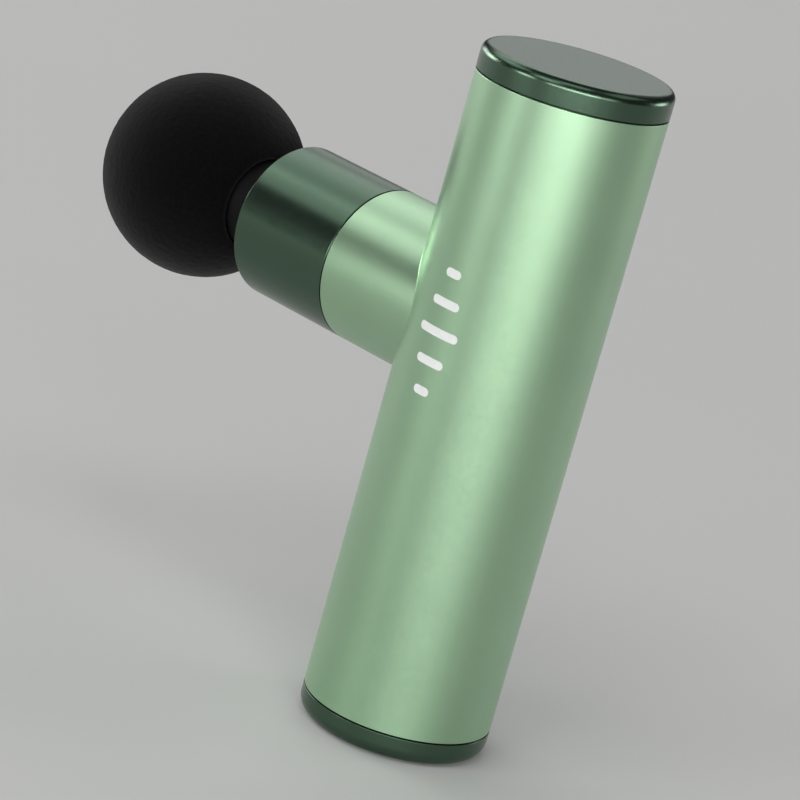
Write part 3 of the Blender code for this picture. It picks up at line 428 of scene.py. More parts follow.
def machined(name, colour, roughness, stretch=(1, 1, 1)):
    """Bare turned or ground metal: fine tool lines along one way and slight tarnish."""
    recipe = Recipe(name, colour, roughness, metallic=1.0)
    recipe.tint(recipe.noise(0.006, 4), shaded(colour, 0.86), shaded(colour, 1.06))
    lines = recipe.noise(0.0002, 2, stretch)
    recipe.dull(lines, roughness - 0.07, roughness + 0.1)
    recipe.relief(lines, 0.000003)
    return recipe.material


def porous(name, colour):
    """Sintered bronze: oil-filled pores between grains."""
    recipe = Recipe(name, colour, 0.45, metallic=1.0)
    grains = recipe.cells(0.0004)
    recipe.tint(grains, shaded(colour, 1.1), shaded(colour, 0.45), 0.2, 0.8)
    recipe.dull(recipe.noise(0.0008, 3), 0.35, 0.6)
    recipe.relief(grains, 0.00002)
    return recipe.material


def winding(name, colour):
    """Enamelled copper wire laid side by side, with painted shade in the grooves between the wires."""
    recipe = Recipe(name, colour, 0.3, metallic=0.9, Coat_Weight=0.6, Coat_Roughness=0.15)
    wires = recipe.bands(0.0005)
    # painted shade: the colour darkens in the grooves between the wires and is a little lighter on their
    # crowns
    recipe.tint(wires, shaded(colour, 0.35), shaded(colour, 1.15), 0.0, 0.6)
    recipe.dull(recipe.noise(0.002, 2), 0.22, 0.4)
    recipe.relief(wires, 0.00018)
    return recipe.material


def shrink_wrap(name, colour):
    """Glossy shrink sleeve with soft wrinkles."""
    recipe = Recipe(name, colour, 0.35, Coat_Weight=0.5, Coat_Roughness=0.2)
    recipe.tint(recipe.noise(0.02, 3), shaded(colour, 0.85), shaded(colour, 1.2))
    recipe.dull(recipe.noise(0.004, 3), 0.28, 0.42)
    recipe.relief(recipe.noise(0.004, 3, (1, 1, 0.3)), 0.00015)
    return recipe.material


def board(name, colour):
    """Solder mask over copper tracks."""
    recipe = Recipe(name, colour, 0.35, Coat_Weight=0.4, Coat_Roughness=0.2)
    tracks = recipe.cells(0.0016, "DISTANCE_TO_EDGE")
    recipe.tint(tracks, shaded(colour, 2.2), colour, 0.10, 0.14)
    recipe.dull(recipe.noise(0.002, 3), 0.28, 0.45)
    recipe.relief(tracks, 0.00003)
    return recipe.material


def clear(name, colour):
    """Milky light guide."""
    recipe = Recipe(name, colour, 0.25, Transmission_Weight=0.55, IOR=1.49)
    recipe.tint(recipe.noise(0.002, 3), shaded(colour, 0.92), shaded(colour, 1.0))
    recipe.dull(recipe.noise(0.0006, 2), 0.2, 0.32)
    recipe.relief(recipe.noise(0.0008, 2), 0.00001)
    return recipe.material


def printed_ink(name, colour):
    """Pad-printed ink: nearly flat, with a slightly uneven film."""
    recipe = Recipe(name, colour, 0.45)
    recipe.tint(recipe.noise(0.0015, 4), shaded(colour, 0.95), shaded(colour, 1.02))
    recipe.dull(recipe.noise(0.0006, 3), 0.38, 0.52)
    recipe.relief(recipe.noise(0.0002, 2), 0.000004)
    return recipe.material


def floor_paint(name, colour):
    """Seamless studio paper."""
    recipe = Recipe(name, colour, 0.9, Specular_IOR_Level=0.2)
    recipe.tint(recipe.noise(0.4, 3), shaded(colour, 0.99), shaded(colour, 1.01))
    recipe.dull(recipe.noise(0.002, 3), 0.88, 0.92)
    recipe.relief(recipe.noise(0.001, 2), 0.00001)
    return recipe.material


LIGHT_GREEN = (0.375, 0.57, 0.375)
DARK_GREEN = (0.080, 0.132, 0.091)

finishes = {
    "body_green": anodised("satin_light_green", LIGHT_GREEN, 0.34, 0.000005),
    "cap_green": anodised("satin_dark_green", DARK_GREEN, 0.25, 0.000003),
    # The stem's finish is a darker, matter copy of the black plastic: its darker colour is painted shade
    # for the gap between ball and collar.
    "stem_black": moulded("plastic_matt_black", (0.0035, 0.0035, 0.0036), 0.6, Specular_IOR_Level=0.15),
    "ball_foam": foam("black_foam", (0.0018, 0.0018, 0.0018)),
    "seal_rubber": rubber("seal_black", (0.014, 0.014, 0.014)),
    "black_plastic": moulded("plastic_black", (0.008, 0.008, 0.0085), 0.5),
    "chassis_plastic": moulded("plastic_grey", (0.20, 0.21, 0.22), 0.55),
    "bare_aluminium": machined("aluminium_turned", (0.74, 0.75, 0.76), 0.34, (6, 6, 1)),
    "bronze": porous("bronze_sintered", (0.60, 0.38, 0.18)),
    "steel": machined("steel_ground", (0.58, 0.58, 0.59), 0.28, (1, 5, 5)),
    "dark_steel": machined("steel_blackened", (0.11, 0.11, 0.12), 0.40),
    "copper_winding": winding("copper_enamelled", (0.68, 0.28, 0.11)),
    "cell_wrap": shrink_wrap("sleeve_blue", (0.05, 0.16, 0.35)),
    "circuit_board": board("solder_mask", (0.02, 0.14, 0.06)),
    "clear_plastic": clear("light_guide_clear", (0.82, 0.84, 0.82)),
    "red_wire": moulded("wire_red", (0.50, 0.02, 0.02), 0.45),
}
ink = printed_ink("pale_ink", (0.70, 0.72, 0.70))

for node in frame["nodes"].values():
    for material_slot in node.material_slots:
        material_slot.material = finishes[material_slot.material.name]


def stand_in(obj, body, slot, *nodes):
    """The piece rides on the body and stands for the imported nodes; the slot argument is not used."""
    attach(obj, body)
    if nodes:
        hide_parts(*nodes)
    return obj


# ---------------------------------------------------------------- body shell
COLUMNS = SIDES
FOOT_COLUMNS = 80
FOOT_ROWS = 56
FOOT_RINGS = 10
FOOT_HALF_HEIGHT = NECK_RADIUS + 0.0052
FILLET_STEPS = 8
EDGE_STEPS = 4
STRAIGHT_ROWS = 6


class Skin:
    """Points with their exact normals, and the faces between them."""

    def __init__(self):
        self.points, self.normals, self.faces = [], [], []

    def add(self, point, normal):
        self.points.append(point)
        self.normals.append(normal)
        return len(self.points) - 1

    def bridge(self, first, second):
        self.faces += bridge(first, second)
        return second


def tube_normal(angle):
    """Outward direction on the tube; angle zero is towards the neck."""
    return Vector((-math.cos(angle), math.sin(angle), 0))


def neck_normal(turn):
    """Outward direction on the neck; turn zero is up."""
    return Vector((0, math.sin(turn), math.cos(turn)))


def foot(tube, neck, fillet, turn):
    """Centre of the fillet that rolls in the corner between tube and neck, at one turn round the neck."""
    y = (neck + fillet) * math.sin(turn)
    z = (neck + fillet) * math.cos(turn)
    return Vector((-math.sqrt((tube + fillet) ** 2 - y**2), y, NECK_HEIGHT + z))


def border_keys():
    """Row and column of each grid point round the patch that holds the neck's foot, from the top centre."""
    half = FOOT_COLUMNS // 2
    keys = [(FOOT_ROWS, column) for column in range(half)]
    keys += [(row, half) for row in range(FOOT_ROWS, 0, -1)]
    keys += [(0, column) for column in range(half, -half, -1)]
    keys += [(row, -half) for row in range(FOOT_ROWS)]
    keys += [(FOOT_ROWS, column) for column in range(-half, 0)]
    return keys


def foot_turn(key):
    row, column = key
    across = column / (FOOT_COLUMNS / 2)
    up = 2 * row / FOOT_ROWS - 1
    return math.atan2(across, up)


def add_t_skin(skin, tube, neck, facing, edge):
    """Adds one skin of tube and neck. facing is 1 for the outside and -1 for the bore.

    Returns the rows of point numbers at the tube's bottom, its top and the neck's end.
    """
    first_row = STRAIGHT_ROWS
    low, high = TUBE_BOTTOM + edge, TUBE_TOP - edge
    foot_low, foot_high = NECK_HEIGHT - FOOT_HALF_HEIGHT, NECK_HEIGHT + FOOT_HALF_HEIGHT
    heights = [low + (foot_low - low) * row / STRAIGHT_ROWS for row in range(STRAIGHT_ROWS)]
    heights += [foot_low + (foot_high - foot_low) * row / FOOT_ROWS for row in range(FOOT_ROWS)]
    heights += [foot_high + (high - foot_high) * row / STRAIGHT_ROWS for row in range(STRAIGHT_ROWS + 1)]
    half = FOOT_COLUMNS // 2

    def in_foot(row, column, reach):
        """Whether a grid point (reach 0) or cell (reach 1) lies inside the patch of the foot."""
        inside_rows = first_row + 1 - reach <= row < first_row + FOOT_ROWS
        return inside_rows and -half + 1 - reach <= column < half

    def add_on_tube(angle, height):
        outward = tube_normal(angle)
        return skin.add(outward * tube + Vector((0, 0, height)), outward * facing)

    columns = range(-COLUMNS // 2, COLUMNS // 2)
    grid = {}
    for row, height in enumerate(heights):
        for column in columns:
            if not in_foot(row, column, 0):
                grid[row, column] = add_on_tube(math.tau * column / COLUMNS, height)
    for row in range(len(heights) - 1):
        for column in columns:
            after = column + 1 if column + 1 in columns else -COLUMNS // 2
            if not in_foot(row, column, 1):
                face = (grid[row, column], grid[row, after], grid[row + 1, after], grid[row + 1, column])
                skin.faces.append(face)

    keys = border_keys()
    turns = [foot_turn(key) for key in keys]
    centres = [foot(tube, neck, FOOT_FILLET, turn) for turn in turns]
    previous = [grid[first_row + row, column] for row, column in keys]
    for ring in range(FOOT_RINGS - 1, -1, -1):
        share = ring / FOOT_RINGS
        numbers = []
        for (row, column), centre in zip(keys, centres):
            near = math.asin(centre.y / (tube + FOOT_FILLET))
            angle = near + (math.tau * column / COLUMNS - near) * share
            height = centre.z + (heights[first_row + row] - centre.z) * share
            numbers.append(add_on_tube(angle, height))
        previous = skin.bridge(previous, numbers)
    for step in range(1, FILLET_STEPS + 1):
        numbers = []
        for turn, centre in zip(turns, centres):
            on_tube = Vector((centre.x, centre.y, 0)).normalized()
            outward = on_tube.slerp(neck_normal(turn), step / FILLET_STEPS)
            numbers.append(skin.add(centre - outward * FOOT_FILLET, outward * facing))
        previous = skin.bridge(previous, numbers)
    for step in range(1, STRAIGHT_ROWS + 1):
        numbers = []
        for turn, centre in zip(turns, centres):
            outward = neck_normal(turn)
            x = centre.x + (edge - NECK_END - centre.x) * step / STRAIGHT_ROWS
            point = Vector((x, 0, NECK_HEIGHT)) + outward * neck
            numbers.append(skin.add(point, outward * facing))
        previous = skin.bridge(previous, numbers)
    bottom = [grid[0, column] for column in columns]
    top = [grid[len(heights) - 1, column] for column in columns]
    return bottom, top, previous


def add_rim(skin, outer_row, inner_row, outer, inner, edge, base, axial, directions):
    """Closes the wall between outer and bore with a flat rim that has rounded edges."""
    profile = []
    for step in range(1, EDGE_STEPS + 1):
        out, up = polar(1, math.pi / 2 * step / EDGE_STEPS)
        profile.append((outer - edge + edge * out, edge * up, out, up))
    for step in range(EDGE_STEPS):
        up, out = polar(1, math.pi / 2 * step / EDGE_STEPS)
        profile.append((inner + edge - edge * out, edge * up, -out, up))
    previous = outer_row
    for radius, rise, out, up in profile:
        numbers = []
        for direction in directions:
            point = base + direction * radius + axial * rise
            numbers.append(skin.add(point, direction * out + axial * up))
        previous = skin.bridge(previous, numbers)
    skin.bridge(previous, inner_row)


def build_body_shell():
    skin = Skin()
    edge = SHELL_EDGE
    tube_bore, neck_bore = BODY_RADIUS - BODY_WALL, NECK_RADIUS - BODY_WALL
    outside = add_t_skin(skin, BODY_RADIUS, NECK_RADIUS, 1, edge)
    bore = add_t_skin(skin, tube_bore, neck_bore, -1, edge)
    columns = range(-COLUMNS // 2, COLUMNS // 2)
    around_tube = [tube_normal(math.tau * column / COLUMNS) for column in columns]
    around_neck = [neck_normal(foot_turn(key)) for key in border_keys()]
    up, forward = Vector((0, 0, 1)), Vector((-1, 0, 0))
    rims = (
        (outside[0], bore[0], BODY_RADIUS, tube_bore, up * (TUBE_BOTTOM + edge), -up, around_tube),
        (outside[1], bore[1], BODY_RADIUS, tube_bore, up * (TUBE_TOP - edge), up, around_tube),
        (
            outside[2],
            bore[2],
            NECK_RADIUS,
            neck_bore,
            up * NECK_HEIGHT + forward * (NECK_END - edge),
            forward,
            around_neck,
        ),
    )
    for outer_row, inner_row, outer, inner, base, axial, directions in rims:
        add_rim(skin, outer_row, inner_row, outer, inner, edge, base, axial, directions)
    mesh = mesh_from("tube_and_neck", skin.points, skin.faces)
    mesh.normals_split_custom_set_from_vertices(skin.normals)
    shell = new_object("tube_and_neck", mesh, finishes["body_green"])
    stand_in(shell, "housing", "body_green", "body_shell")


# ---------------------------------------------------------------- caps
def cap_corners(face, seam, spigot_end, fillet):
    """Corners of a cap from its outer face inwards."""
    inward = 1 if spigot_end > face else -1
    spigot = BODY_RADIUS - BODY_WALL - SEAM
    bore = spigot - SPIGOT_WALL
    return [
        (0, face, 0),
        (BODY_RADIUS, face, fillet),
        (BODY_RADIUS, seam, CAP_EDGE),
        (spigot, seam, 0),
        (spigot, spigot_end, CAP_EDGE),
        (bore, spigot_end, CAP_EDGE),
        (bore, face + inward * CAP_WALL, 0),
        (0, face + inward * CAP_WALL, 0),
    ]


HOLE_CHAMFER = 0.00015
PAST_WALL = 0.0010


def hole_cutter(name, x, y, radius):
    """Cuts a round hole with a small chamfer through the base cap's face."""
    corners = [
        (0, -PAST_WALL, 0),
        (radius + HOLE_CHAMFER + PAST_WALL, -PAST_WALL, 0),
        (radius, HOLE_CHAMFER, 0),
        (radius, CAP_WALL + PAST_WALL, 0),
        (0, CAP_WALL + PAST_WALL, 0),
    ]
    return turned(name, corners, finishes["cap_green"], Matrix.Translation((x, y, 0)), 64)


def port_cutter(half_length, half_width, centre):
    sizes = ((HOLE_CHAMFER + PAST_WALL, -PAST_WALL), (0, HOLE_CHAMFER), (0, CAP_WALL + PAST_WALL))
    rows = [capsule(half_length + more, half_width + more, height) for more, height in sizes]
    return lofted("port_cutter", moved(rows, centre), finishes["cap_green"])


LIGHT_RADIUS = 0.0006
LIGHT_CIRCLE = 0.0069
LIGHT_ANGLES = (126, 162, 198, 234)
BUTTON_FLANGE = 0.0010
GAP = 0.0003

BUTTON_X = (button_low.x + button_high.x) / 2
BUTTON_RADIUS = (button_high.x - button_low.x) / 2 - BUTTON_FLANGE
PORT_X = (port_low.x + port_high.x) / 2
PORT_HALF_LENGTH = port_high.y
PORT_HALF_WIDTH = (port_high.x - port_low.x) / 2


def light_places():
    for degrees in LIGHT_ANGLES:
        x, y = polar(LIGHT_CIRCLE, math.radians(degrees))
        yield BUTTON_X + x, y


def build_caps():
    material = finishes["cap_green"]
    corners = cap_corners(top_cap_high.z, TUBE_TOP + SEAM, top_cap_low.z, CAP_TOP_FILLET)
    stand_in(turned("cap_top", corners, material), "housing", "cap_green", "top_cap")
    corners = cap_corners(base_cap_low.z, TUBE_BOTTOM - SEAM, base_cap_high.z, CAP_BASE_FILLET)
    cap = turned("cap_base", corners, material)
    cutters = [hole_cutter("button_cutter", BUTTON_X, 0, BUTTON_RADIUS + GAP)]
    for number, (x, y) in enumerate(light_places(), 1):
        cutters.append(hole_cutter(f"light_cutter_{number}", x, y, LIGHT_RADIUS + GAP))
    cutters.append(port_cutter(PORT_HALF_LENGTH + GAP, PORT_HALF_WIDTH + GAP, (PORT_X, 0, 0)))
    stand_in(cut(cap, cutters), "housing", "cap_green", "base_cap")


# ---------------------------------------------------------------- collar, wiper and piston
def build_neck_pieces():
    spigot = NECK_RADIUS - BODY_WALL - GAP
    seam = NECK_END + SEAM
    bore = spigot - 0.0021
    wall_front = WIPER_REAR - GAP
    wall_rear = wall_front - 0.0030
    wall_bore = STEM_RADIUS + 0.0012
    recess = NECK_RADIUS - COLLAR_RIM
    corners = [
        (bore, COLLAR_REAR, CAP_EDGE),
        (spigot, COLLAR_REAR, CAP_EDGE),
        (spigot, seam, 0),
        (NECK_RADIUS, seam, CAP_EDGE),
        (NECK_RADIUS, COLLAR_FRONT, COLLAR_EDGE),
        (recess, COLLAR_FRONT, COLLAR_EDGE / 2),
        (recess, wall_front, 0.0002),
        (wall_bore, wall_front, CAP_EDGE),
        (wall_bore, wall_rear, CAP_EDGE),
        (bore, wall_rear, 0),
    ]
    collar = turned("collar_front", corners, finishes["cap_green"], NECK_AXIS, closed=True)
    stand_in(collar, "housing", "cap_green", "front_collar")

    lip = STEM_RADIUS + 0.0005
    pad_front = WIPER_REAR + 0.0014
    soft = 0.0002
    corners = [
        (STEM_RADIUS + 0.0014, WIPER_REAR, soft),
        (WIPER_RADIUS, WIPER_REAR, soft),
        (WIPER_RADIUS, pad_front, soft),
        (STEM_RADIUS + 0.0022, pad_front, soft),
        (lip + 0.0004, WIPER_FRONT, 0.00012),
        (lip, WIPER_FRONT - 0.0002, 0.00012),
    ]
    wiper = turned("wiper_lip", corners, finishes["seal_rubber"], NECK_AXIS, closed=True)
    stand_in(wiper, "housing", "seal_rubber", "front_wiper")

    rod_bore = 0.00315
    rod_depth = 0.0100
    socket_floor = PISTON_FRONT - 0.0290
    edge = 0.0004
    corners = [
        (0, PISTON_REAR + rod_depth, 0),
        (rod_bore, PISTON_REAR + rod_depth, 0),
        (rod_bore, PISTON_REAR, 0),
        (PISTON_RADIUS, PISTON_REAR, edge),
        (PISTON_RADIUS, PISTON_FRONT, edge),
        (SOCKET_RADIUS, PISTON_FRONT, edge),
        (SOCKET_RADIUS, socket_floor, 0.0003),
        (0, socket_floor, 0),
    ]
    piston = turned("piston_sleeve", corners, finishes["bare_aluminium"], NECK_AXIS, 96)
    stand_in(piston, "piston", "bare_aluminium", "piston_tube")


# ---------------------------------------------------------------- head
def build_stem():
    """The plug with its two ring grooves, the flange that the ball sits on and its inner boss."""
    groove = PLUG_RADIUS - 0.0009
    groove_width = 0.0020
    seat = PISTON_FRONT + GAP
    flange_end = BALL_REACH - 0.0155
    boss = STEM_RADIUS - 0.0040
    edge = 0.0001
    corners = [(0, PLUG_REAR, 0), (PLUG_RADIUS, PLUG_REAR, 0.0009)]
    for ring in ("head_ring_inner", "head_ring_outer"):
        low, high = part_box(ring)
        middle = -(low.x + high.x) / 2
        near, far = middle - groove_width / 2, middle + groove_width / 2
        corners += [
            (PLUG_RADIUS, near, edge),
            (groove, near, edge),
            (groove, far, edge),
            (PLUG_RADIUS, far, edge),
        ]
        build_o_ring(ring, (groove + high.y) / 2, middle, (high.y - groove) / 2)
    corners += [
        (PLUG_RADIUS, seat, 0.0003),
        (STEM_RADIUS, seat, 0.0006),
        (STEM_RADIUS, flange_end, 0.0003),
        (boss, flange_end, 0.0003),
        (boss, STEM_FRONT, 0.0005),
        (0, STEM_FRONT, 0),
    ]
    # the stem takes the darker copy of the black plastic, painted shade for the gap between ball and collar
    stem = turned("stem", corners, finishes["stem_black"], NECK_AXIS, 96)
    stand_in(stem, "head", "black_plastic", "head_stem")


def build_o_ring(node, radius, middle, thickness):
    """One of the rubber rings that hold the stem in its socket."""
    steps = 16
    centre = Vector((radius, middle))
    outline = [centre + polar(thickness, math.tau * step / steps) for step in range(steps)]
    corners = [(*point, 0) for point in outline]
    ring = turned("o" + node[4:], corners, finishes["seal_rubber"], NECK_AXIS, 96, closed=True)
    stand_in(ring, "head", "seal_rubber", node)


def build_ball():
    """A moulded foam ball: an even sphere whose skin is slightly uneven, open where the stem goes in."""
    rings = 200
    sides = 320
    unevenness = 0.00005
    wave = 0.0011
    fine_wave, fine_share = wave / 2, 0.6
    swell_wave, swell_share = 6 * wave, 0.8
    inner = BALL_RADIUS - FOAM_SKIN
    mouth = STEM_RADIUS + GAP
    lip = math.asin((mouth + FOAM_LIP) / (BALL_RADIUS - FOAM_LIP))
    lip_centre = Vector((mouth + FOAM_LIP, BALL_REACH - (BALL_RADIUS - FOAM_LIP) * math.cos(lip)))
    outline = []
    inner_rings = 24
    inner_mouth = math.asin(mouth / inner)
    for ring in range(inner_rings + 1):
        angle = math.pi - (math.pi - inner_mouth) * ring / inner_rings
        outline.append(Vector((inner * math.sin(angle), BALL_REACH - inner * math.cos(angle))))
    lip_steps = 8
    for step in range(lip_steps + 1):
        turn = math.pi + (math.pi / 2 - lip) * step / lip_steps
        outline.append(lip_centre + polar(FOAM_LIP, turn))
    for ring in range(1, rings + 1):
        angle = lip + (math.pi - lip) * ring / rings
        outline.append(Vector((BALL_RADIUS * math.sin(angle), BALL_REACH - BALL_RADIUS * math.cos(angle))))
    outline[0].x = 0
    outline[-1].x = 0
    points, faces = spin(outline, NECK_AXIS, sides)
    centre = NECK_AXIS @ Vector((0, 0, BALL_REACH))
    surface = BALL_RADIUS - 0.1 * FOAM_LIP
    for point in points:
        outward = point - centre
        if outward.length > surface:
            grain = noise.noise(point / wave) + fine_share * noise.noise(point / fine_wave)
            swell = swell_share * noise.noise(point / swell_wave)
            point += outward.normalized() * unevenness * (grain + swell - 1)
    ball = new_object("foam_ball", mesh_from("foam_ball", points, faces), finishes["ball_foam"])
    stand_in(ball, "head", "ball_foam", "ball_head")


# ---------------------------------------------------------------- controls on the base
def build_button():
    """A dished button whose flange stays behind the cap's wall."""
    dish = 0.00025
    rim = 0.0008
    back = button_high.z - 0.0004
    face = button_low.z
    flange = CAP_WALL + GAP
    corners = [
        (0, face + dish, 0),
        (BUTTON_RADIUS - 2.2 * rim, face + dish * 0.75, 0.004),
        (BUTTON_RADIUS - rim, face, 0.0005),
        (BUTTON_RADIUS, face, 0.0003),
        (BUTTON_RADIUS, flange, 0),
        (BUTTON_RADIUS + BUTTON_FLANGE, flange, 0),
        (BUTTON_RADIUS + BUTTON_FLANGE, back, 0),
        (0, back, 0),
    ]
    place = Matrix.Translation((BUTTON_X, 0, 0))
    button = turned("push_button", corners, finishes["black_plastic"], place, 96)
    stand_in(button, "button", "black_plastic", "power_button")
    build_button_mark(face + dish, place)


def build_button_mark(height, place):
    """The usual standby sign, printed: a ring open at one side, with a bar through the opening."""
    radius = 0.0014
    stroke = 0.00022
    film = 0.00004
    sunk = 0.0001
    section = ((-1, sunk), (1, sunk), (1, -film), (-1, -film))
    opening = math.radians(36)
    steps = 40
    rows = []
    for step in range(steps + 1):
        angle = opening + (math.tau - 2 * opening) * step / steps
        row = []
        for side, depth in section:
            x, y = polar(radius + side * stroke / 2, angle)
            row.append(place @ Vector((x, y, height + depth)))
        rows.append(row)
    ring = lofted("standby_sign", rows, ink)
    bar_rows = []
    for x in (radius * 0.55, radius * 1.35):
        row = []
        for side, depth in section:
            row.append(place @ Vector((x, side * stroke / 2, height + depth)))
        bar_rows.append(row)
    bar = lofted("standby_bar", bar_rows, ink)
    stand_in(merged(ring, [bar]), "button", "black_plastic")


def build_port():
    """A stadium-shaped steel shell with a tongue in the middle and its contacts."""
    wall = 0.0003
    edge = 0.00008
    deep = port_high.z - 0.0008
    rows = [
        capsule(PORT_HALF_LENGTH, PORT_HALF_WIDTH, port_high.z),
        capsule(PORT_HALF_LENGTH, PORT_HALF_WIDTH, port_low.z + edge),
        capsule(PORT_HALF_LENGTH - edge, PORT_HALF_WIDTH - edge, port_low.z),
        capsule(PORT_HALF_LENGTH - wall + edge, PORT_HALF_WIDTH - wall + edge, port_low.z),
        capsule(PORT_HALF_LENGTH - wall, PORT_HALF_WIDTH - wall, port_low.z + edge),
        capsule(PORT_HALF_LENGTH - wall, PORT_HALF_WIDTH - wall, deep),
    ]
    shell = lofted("port_shell", moved(rows, (PORT_X, 0, 0)), finishes["steel"])
    stand_in(shell, "housing", "steel", "usb_receptacle")

    corners = ((-1, -1), (1, -1), (1, 1), (-1, 1))
    tongue_length, tongue_width = 0.00335, 0.00035
    bevel = 0.0003
    tip = port_low.z + 0.0008
    sizes = (
        (tongue_length - 0.00005, tongue_width - 0.0001, tip),
        (tongue_length, tongue_width, tip + bevel),
        (tongue_length, tongue_width, deep + 0.0001),
    )
    rows = []
    for half_length, half_width, height in sizes:
        rows.append([Vector((side * half_width, end * half_length, height)) for side, end in corners])
    tongue = lofted("port_tongue", moved(rows, (PORT_X, 0, 0)), finishes["black_plastic"])
    stand_in(tongue, "housing", "black_plastic")

    count = 8
    pitch = 0.0007
    thick, wide = 0.00002, 0.00013
    contacts = []
    for side in (-1, 1):
        for number in range(count):
            y = pitch * (number - (count - 1) / 2)
            x = PORT_X + side * tongue_width
            rows = []
            for height in (tip + 0.0006, tip + 0.0026):
                rows.append([Vector((x + a * thick, y + b * wide, height)) for a, b in corners])
            contacts.append(lofted(f"port_contact_{side + 1}_{number}", rows, finishes["bronze"]))
    first = contacts[0]
    first.name = "port_contacts"
    stand_in(merged(first, contacts[1:]), "housing", "bronze")


def build_light_pipes():
    """Four domed light pipes on a curved rail."""
    rail_low = 0.0045
    rail_high = 0.0055
    half = 0.0008
    steps = 24
    material = finishes["clear_plastic"]
    first, last = math.radians(LIGHT_ANGLES[0]), math.radians(LIGHT_ANGLES[-1])
    rows = []
    for step in range(steps + 1):
        angle = first + (last - first) * step / steps
        row = []
        for side, height in ((-1, rail_low), (1, rail_low), (1, rail_high), (-1, rail_high)):
            x, y = polar(LIGHT_CIRCLE + side * half, angle)
            row.append(Vector((BUTTON_X + x, y, height)))
        rows.append(row)
    rail = lofted("light_pipes", rows, material)
    pipes = []
    for number, (x, y) in enumerate(light_places(), 1):
        corners = [
            (0, guide_low.z, 0),
            (LIGHT_RADIUS, guide_low.z + 0.0001, 0.0002),
            (LIGHT_RADIUS, guide_high.z, 0),
            (0, guide_high.z, 0),
        ]
        pipes.append(turned(f"light_pipe_{number}", corners, material, Matrix.Translation((x, y, 0)), 48))
    stand_in(merged(rail, pipes), "housing", "clear_plastic", "light_guide")


# ---------------------------------------------------------------- print on the tube
def build_print():
    """A plain rhythm of rounded bars across the tube, in pale ink, on the side that faces -Y."""
    lengths = (0.0040, 0.0072, 0.0104, 0.0072, 0.0040)
    pitch = 0.0062
    half_width = 0.0009
    film = 0.00003
    columns = 40
    marks = []
    for number, length in enumerate(lengths):
        middle = NECK_HEIGHT + pitch * (number - (len(lengths) - 1) / 2)
        straight = length / 2 - half_width
        rows = []
        for column in range(columns + 1):
            along = -math.cos(math.pi * column / columns) * length / 2
            past_straight = max(0.0, abs(along) - straight)
            half = max(1e-5, math.sqrt(max(0.0, half_width**2 - past_straight**2)))
            outward = tube_normal(along / BODY_RADIUS - math.pi / 2)
            row = []
            for side, rise in ((-1, -film), (1, -film), (1, film), (-1, film)):
                row.append(outward * (BODY_RADIUS + rise) + Vector((0, 0, middle + side * half)))
            rows.append(row)
        marks.append(lofted(f"print_bar_{number + 1}", rows, ink))
    first = marks[0]
    first.name = "tube_print"
    stand_in(merged(first, marks[1:]), "housing", "body_green")


# ---------------------------------------------------------------- floor, light and camera
def direction(azimuth, elevation):
    """Azimuth 0 is -Y and 90 is +X, in degrees."""
    a, e = math.radians(azimuth), math.radians(elevation)
    return Vector((math.sin(a) * math.cos(e), -math.cos(a) * math.cos(e), math.sin(e)))


LIGHT_DISTANCE = 5.0


def soft_light(name, azimuth, elevation, width, height, power):
    """A rectangle of light that faces the gun and is hidden from the camera."""
    light = bpy.data.lights.new(name, "AREA")
    light.shape = "RECTANGLE"
    light.size = width
    light.size_y = height
    light.energy = power
    obj = bpy.data.objects.new(name, light)
    bpy.context.scene.collection.objects.link(obj)
    outward = direction(azimuth, elevation)
    obj.location = Vector((0, 0, NECK_HEIGHT)) + outward * LIGHT_DISTANCE
    obj.rotation_euler = (-outward).to_track_quat("-Z", "Y").to_euler()
    obj.visible_camera = False


def build_floor():
    """A round sheet of pale paper, much wider than the gun, with its face at height 0."""
    reach, thickness = 12, 0.05
    outline = [(0, 0), (0.3, 0), (1, 0), (reach, 0), (reach, -thickness), (0, -thickness)]
    points, faces = spin([Vector(point) for point in outline], UPRIGHT, 96)
    mesh = mesh_from("studio_floor", points, faces)
    mesh.set_sharp_from_angle(angle=SHARP_ANGLE)
    new_object("studio_floor", mesh, floor_paint("paper", (0.76, 0.76, 0.75)))


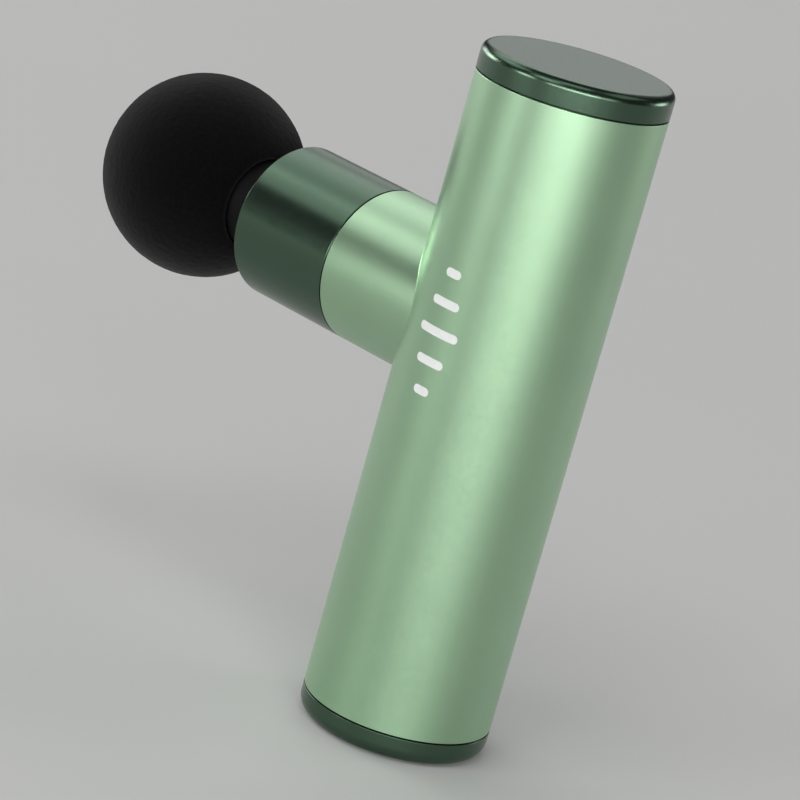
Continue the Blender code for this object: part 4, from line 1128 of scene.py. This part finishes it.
def build_lights_and_world():
    """Soft boxes round the gun. Each low one reaches the floor and makes a long band on the tube."""
    world = bpy.data.worlds.new("studio")
    world.use_nodes = True
    background = world.node_tree.nodes["Background"]
    background.inputs["Color"].default_value = (0.9, 0.92, 0.95, 1)
    background.inputs["Strength"].default_value = 0.06
    scene = bpy.context.scene
    scene.world = world
    scene.view_settings.view_transform = "Standard"
    low_boxes = (
        ("left_edge", -100, 1.74, 24),
        ("far_left_band", -80, 1.74, 64),
        ("left_band", -20, 1.74, 50),
        ("front_band", 20, 1.74, 42),
        ("right_band", 50, 3.5, 132),
        ("right_edge", 80, 1.74, 20),
        ("rear_right_band", 160, 1.74, 38),
    )
    low_elevation, low_height = 6.5, 1.3
    for name, azimuth, width, power in low_boxes:
        soft_light(name, azimuth, low_elevation, width, low_height, power)
    soft_light("top_face_band", 220, 15.8, 2.2, 1.6, 7.5)
    soft_light("back_fill", 220, 42, 4.4, 2.6, 7)
    soft_light("overhead", 40, 68, 2.2, 2.2, 20)
    soft_light("upper_front", 0, 45, 2.2, 2.2, 32)
    soft_light("right_fill", 130, 55, 3.2, 2.2, 16)
    soft_light("left_fill", -112, 42, 5.8, 2.2, 54)
    soft_light("left_front_fill", -60, 45, 2.2, 2.2, 20)


def build_camera():
    """Stands off towards -Y and +X, looks a little down, and leans so that the tube tilts to the right."""
    azimuth, elevation, roll = 40.8, 15.76, 15.71
    distance = 0.8031
    aim = Vector((-0.0218, 0, 0.0645))
    back = direction(azimuth, elevation)
    right = Vector((0, 0, 1)).cross(back).normalized()
    up = back.cross(right)
    lean = math.radians(roll)
    camera_right = math.cos(lean) * right + math.sin(lean) * up
    camera_up = math.cos(lean) * up - math.sin(lean) * right
    data = bpy.data.cameras.new("camera")
    data.sensor_width = 36
    data.lens = 174.4
    camera = bpy.data.objects.new("camera", data)
    bpy.context.scene.collection.objects.link(camera)
    turn = Matrix((camera_right, camera_up, back)).transposed().to_4x4()
    camera.matrix_world = Matrix.Translation(aim + back * distance) @ turn
    bpy.context.scene.camera = camera


build_camera()
build_floor()
build_lights_and_world()
build_body_shell()
build_caps()
build_neck_pieces()
build_stem()
build_ball()
build_button()
build_port()
build_light_pipes()
build_print()
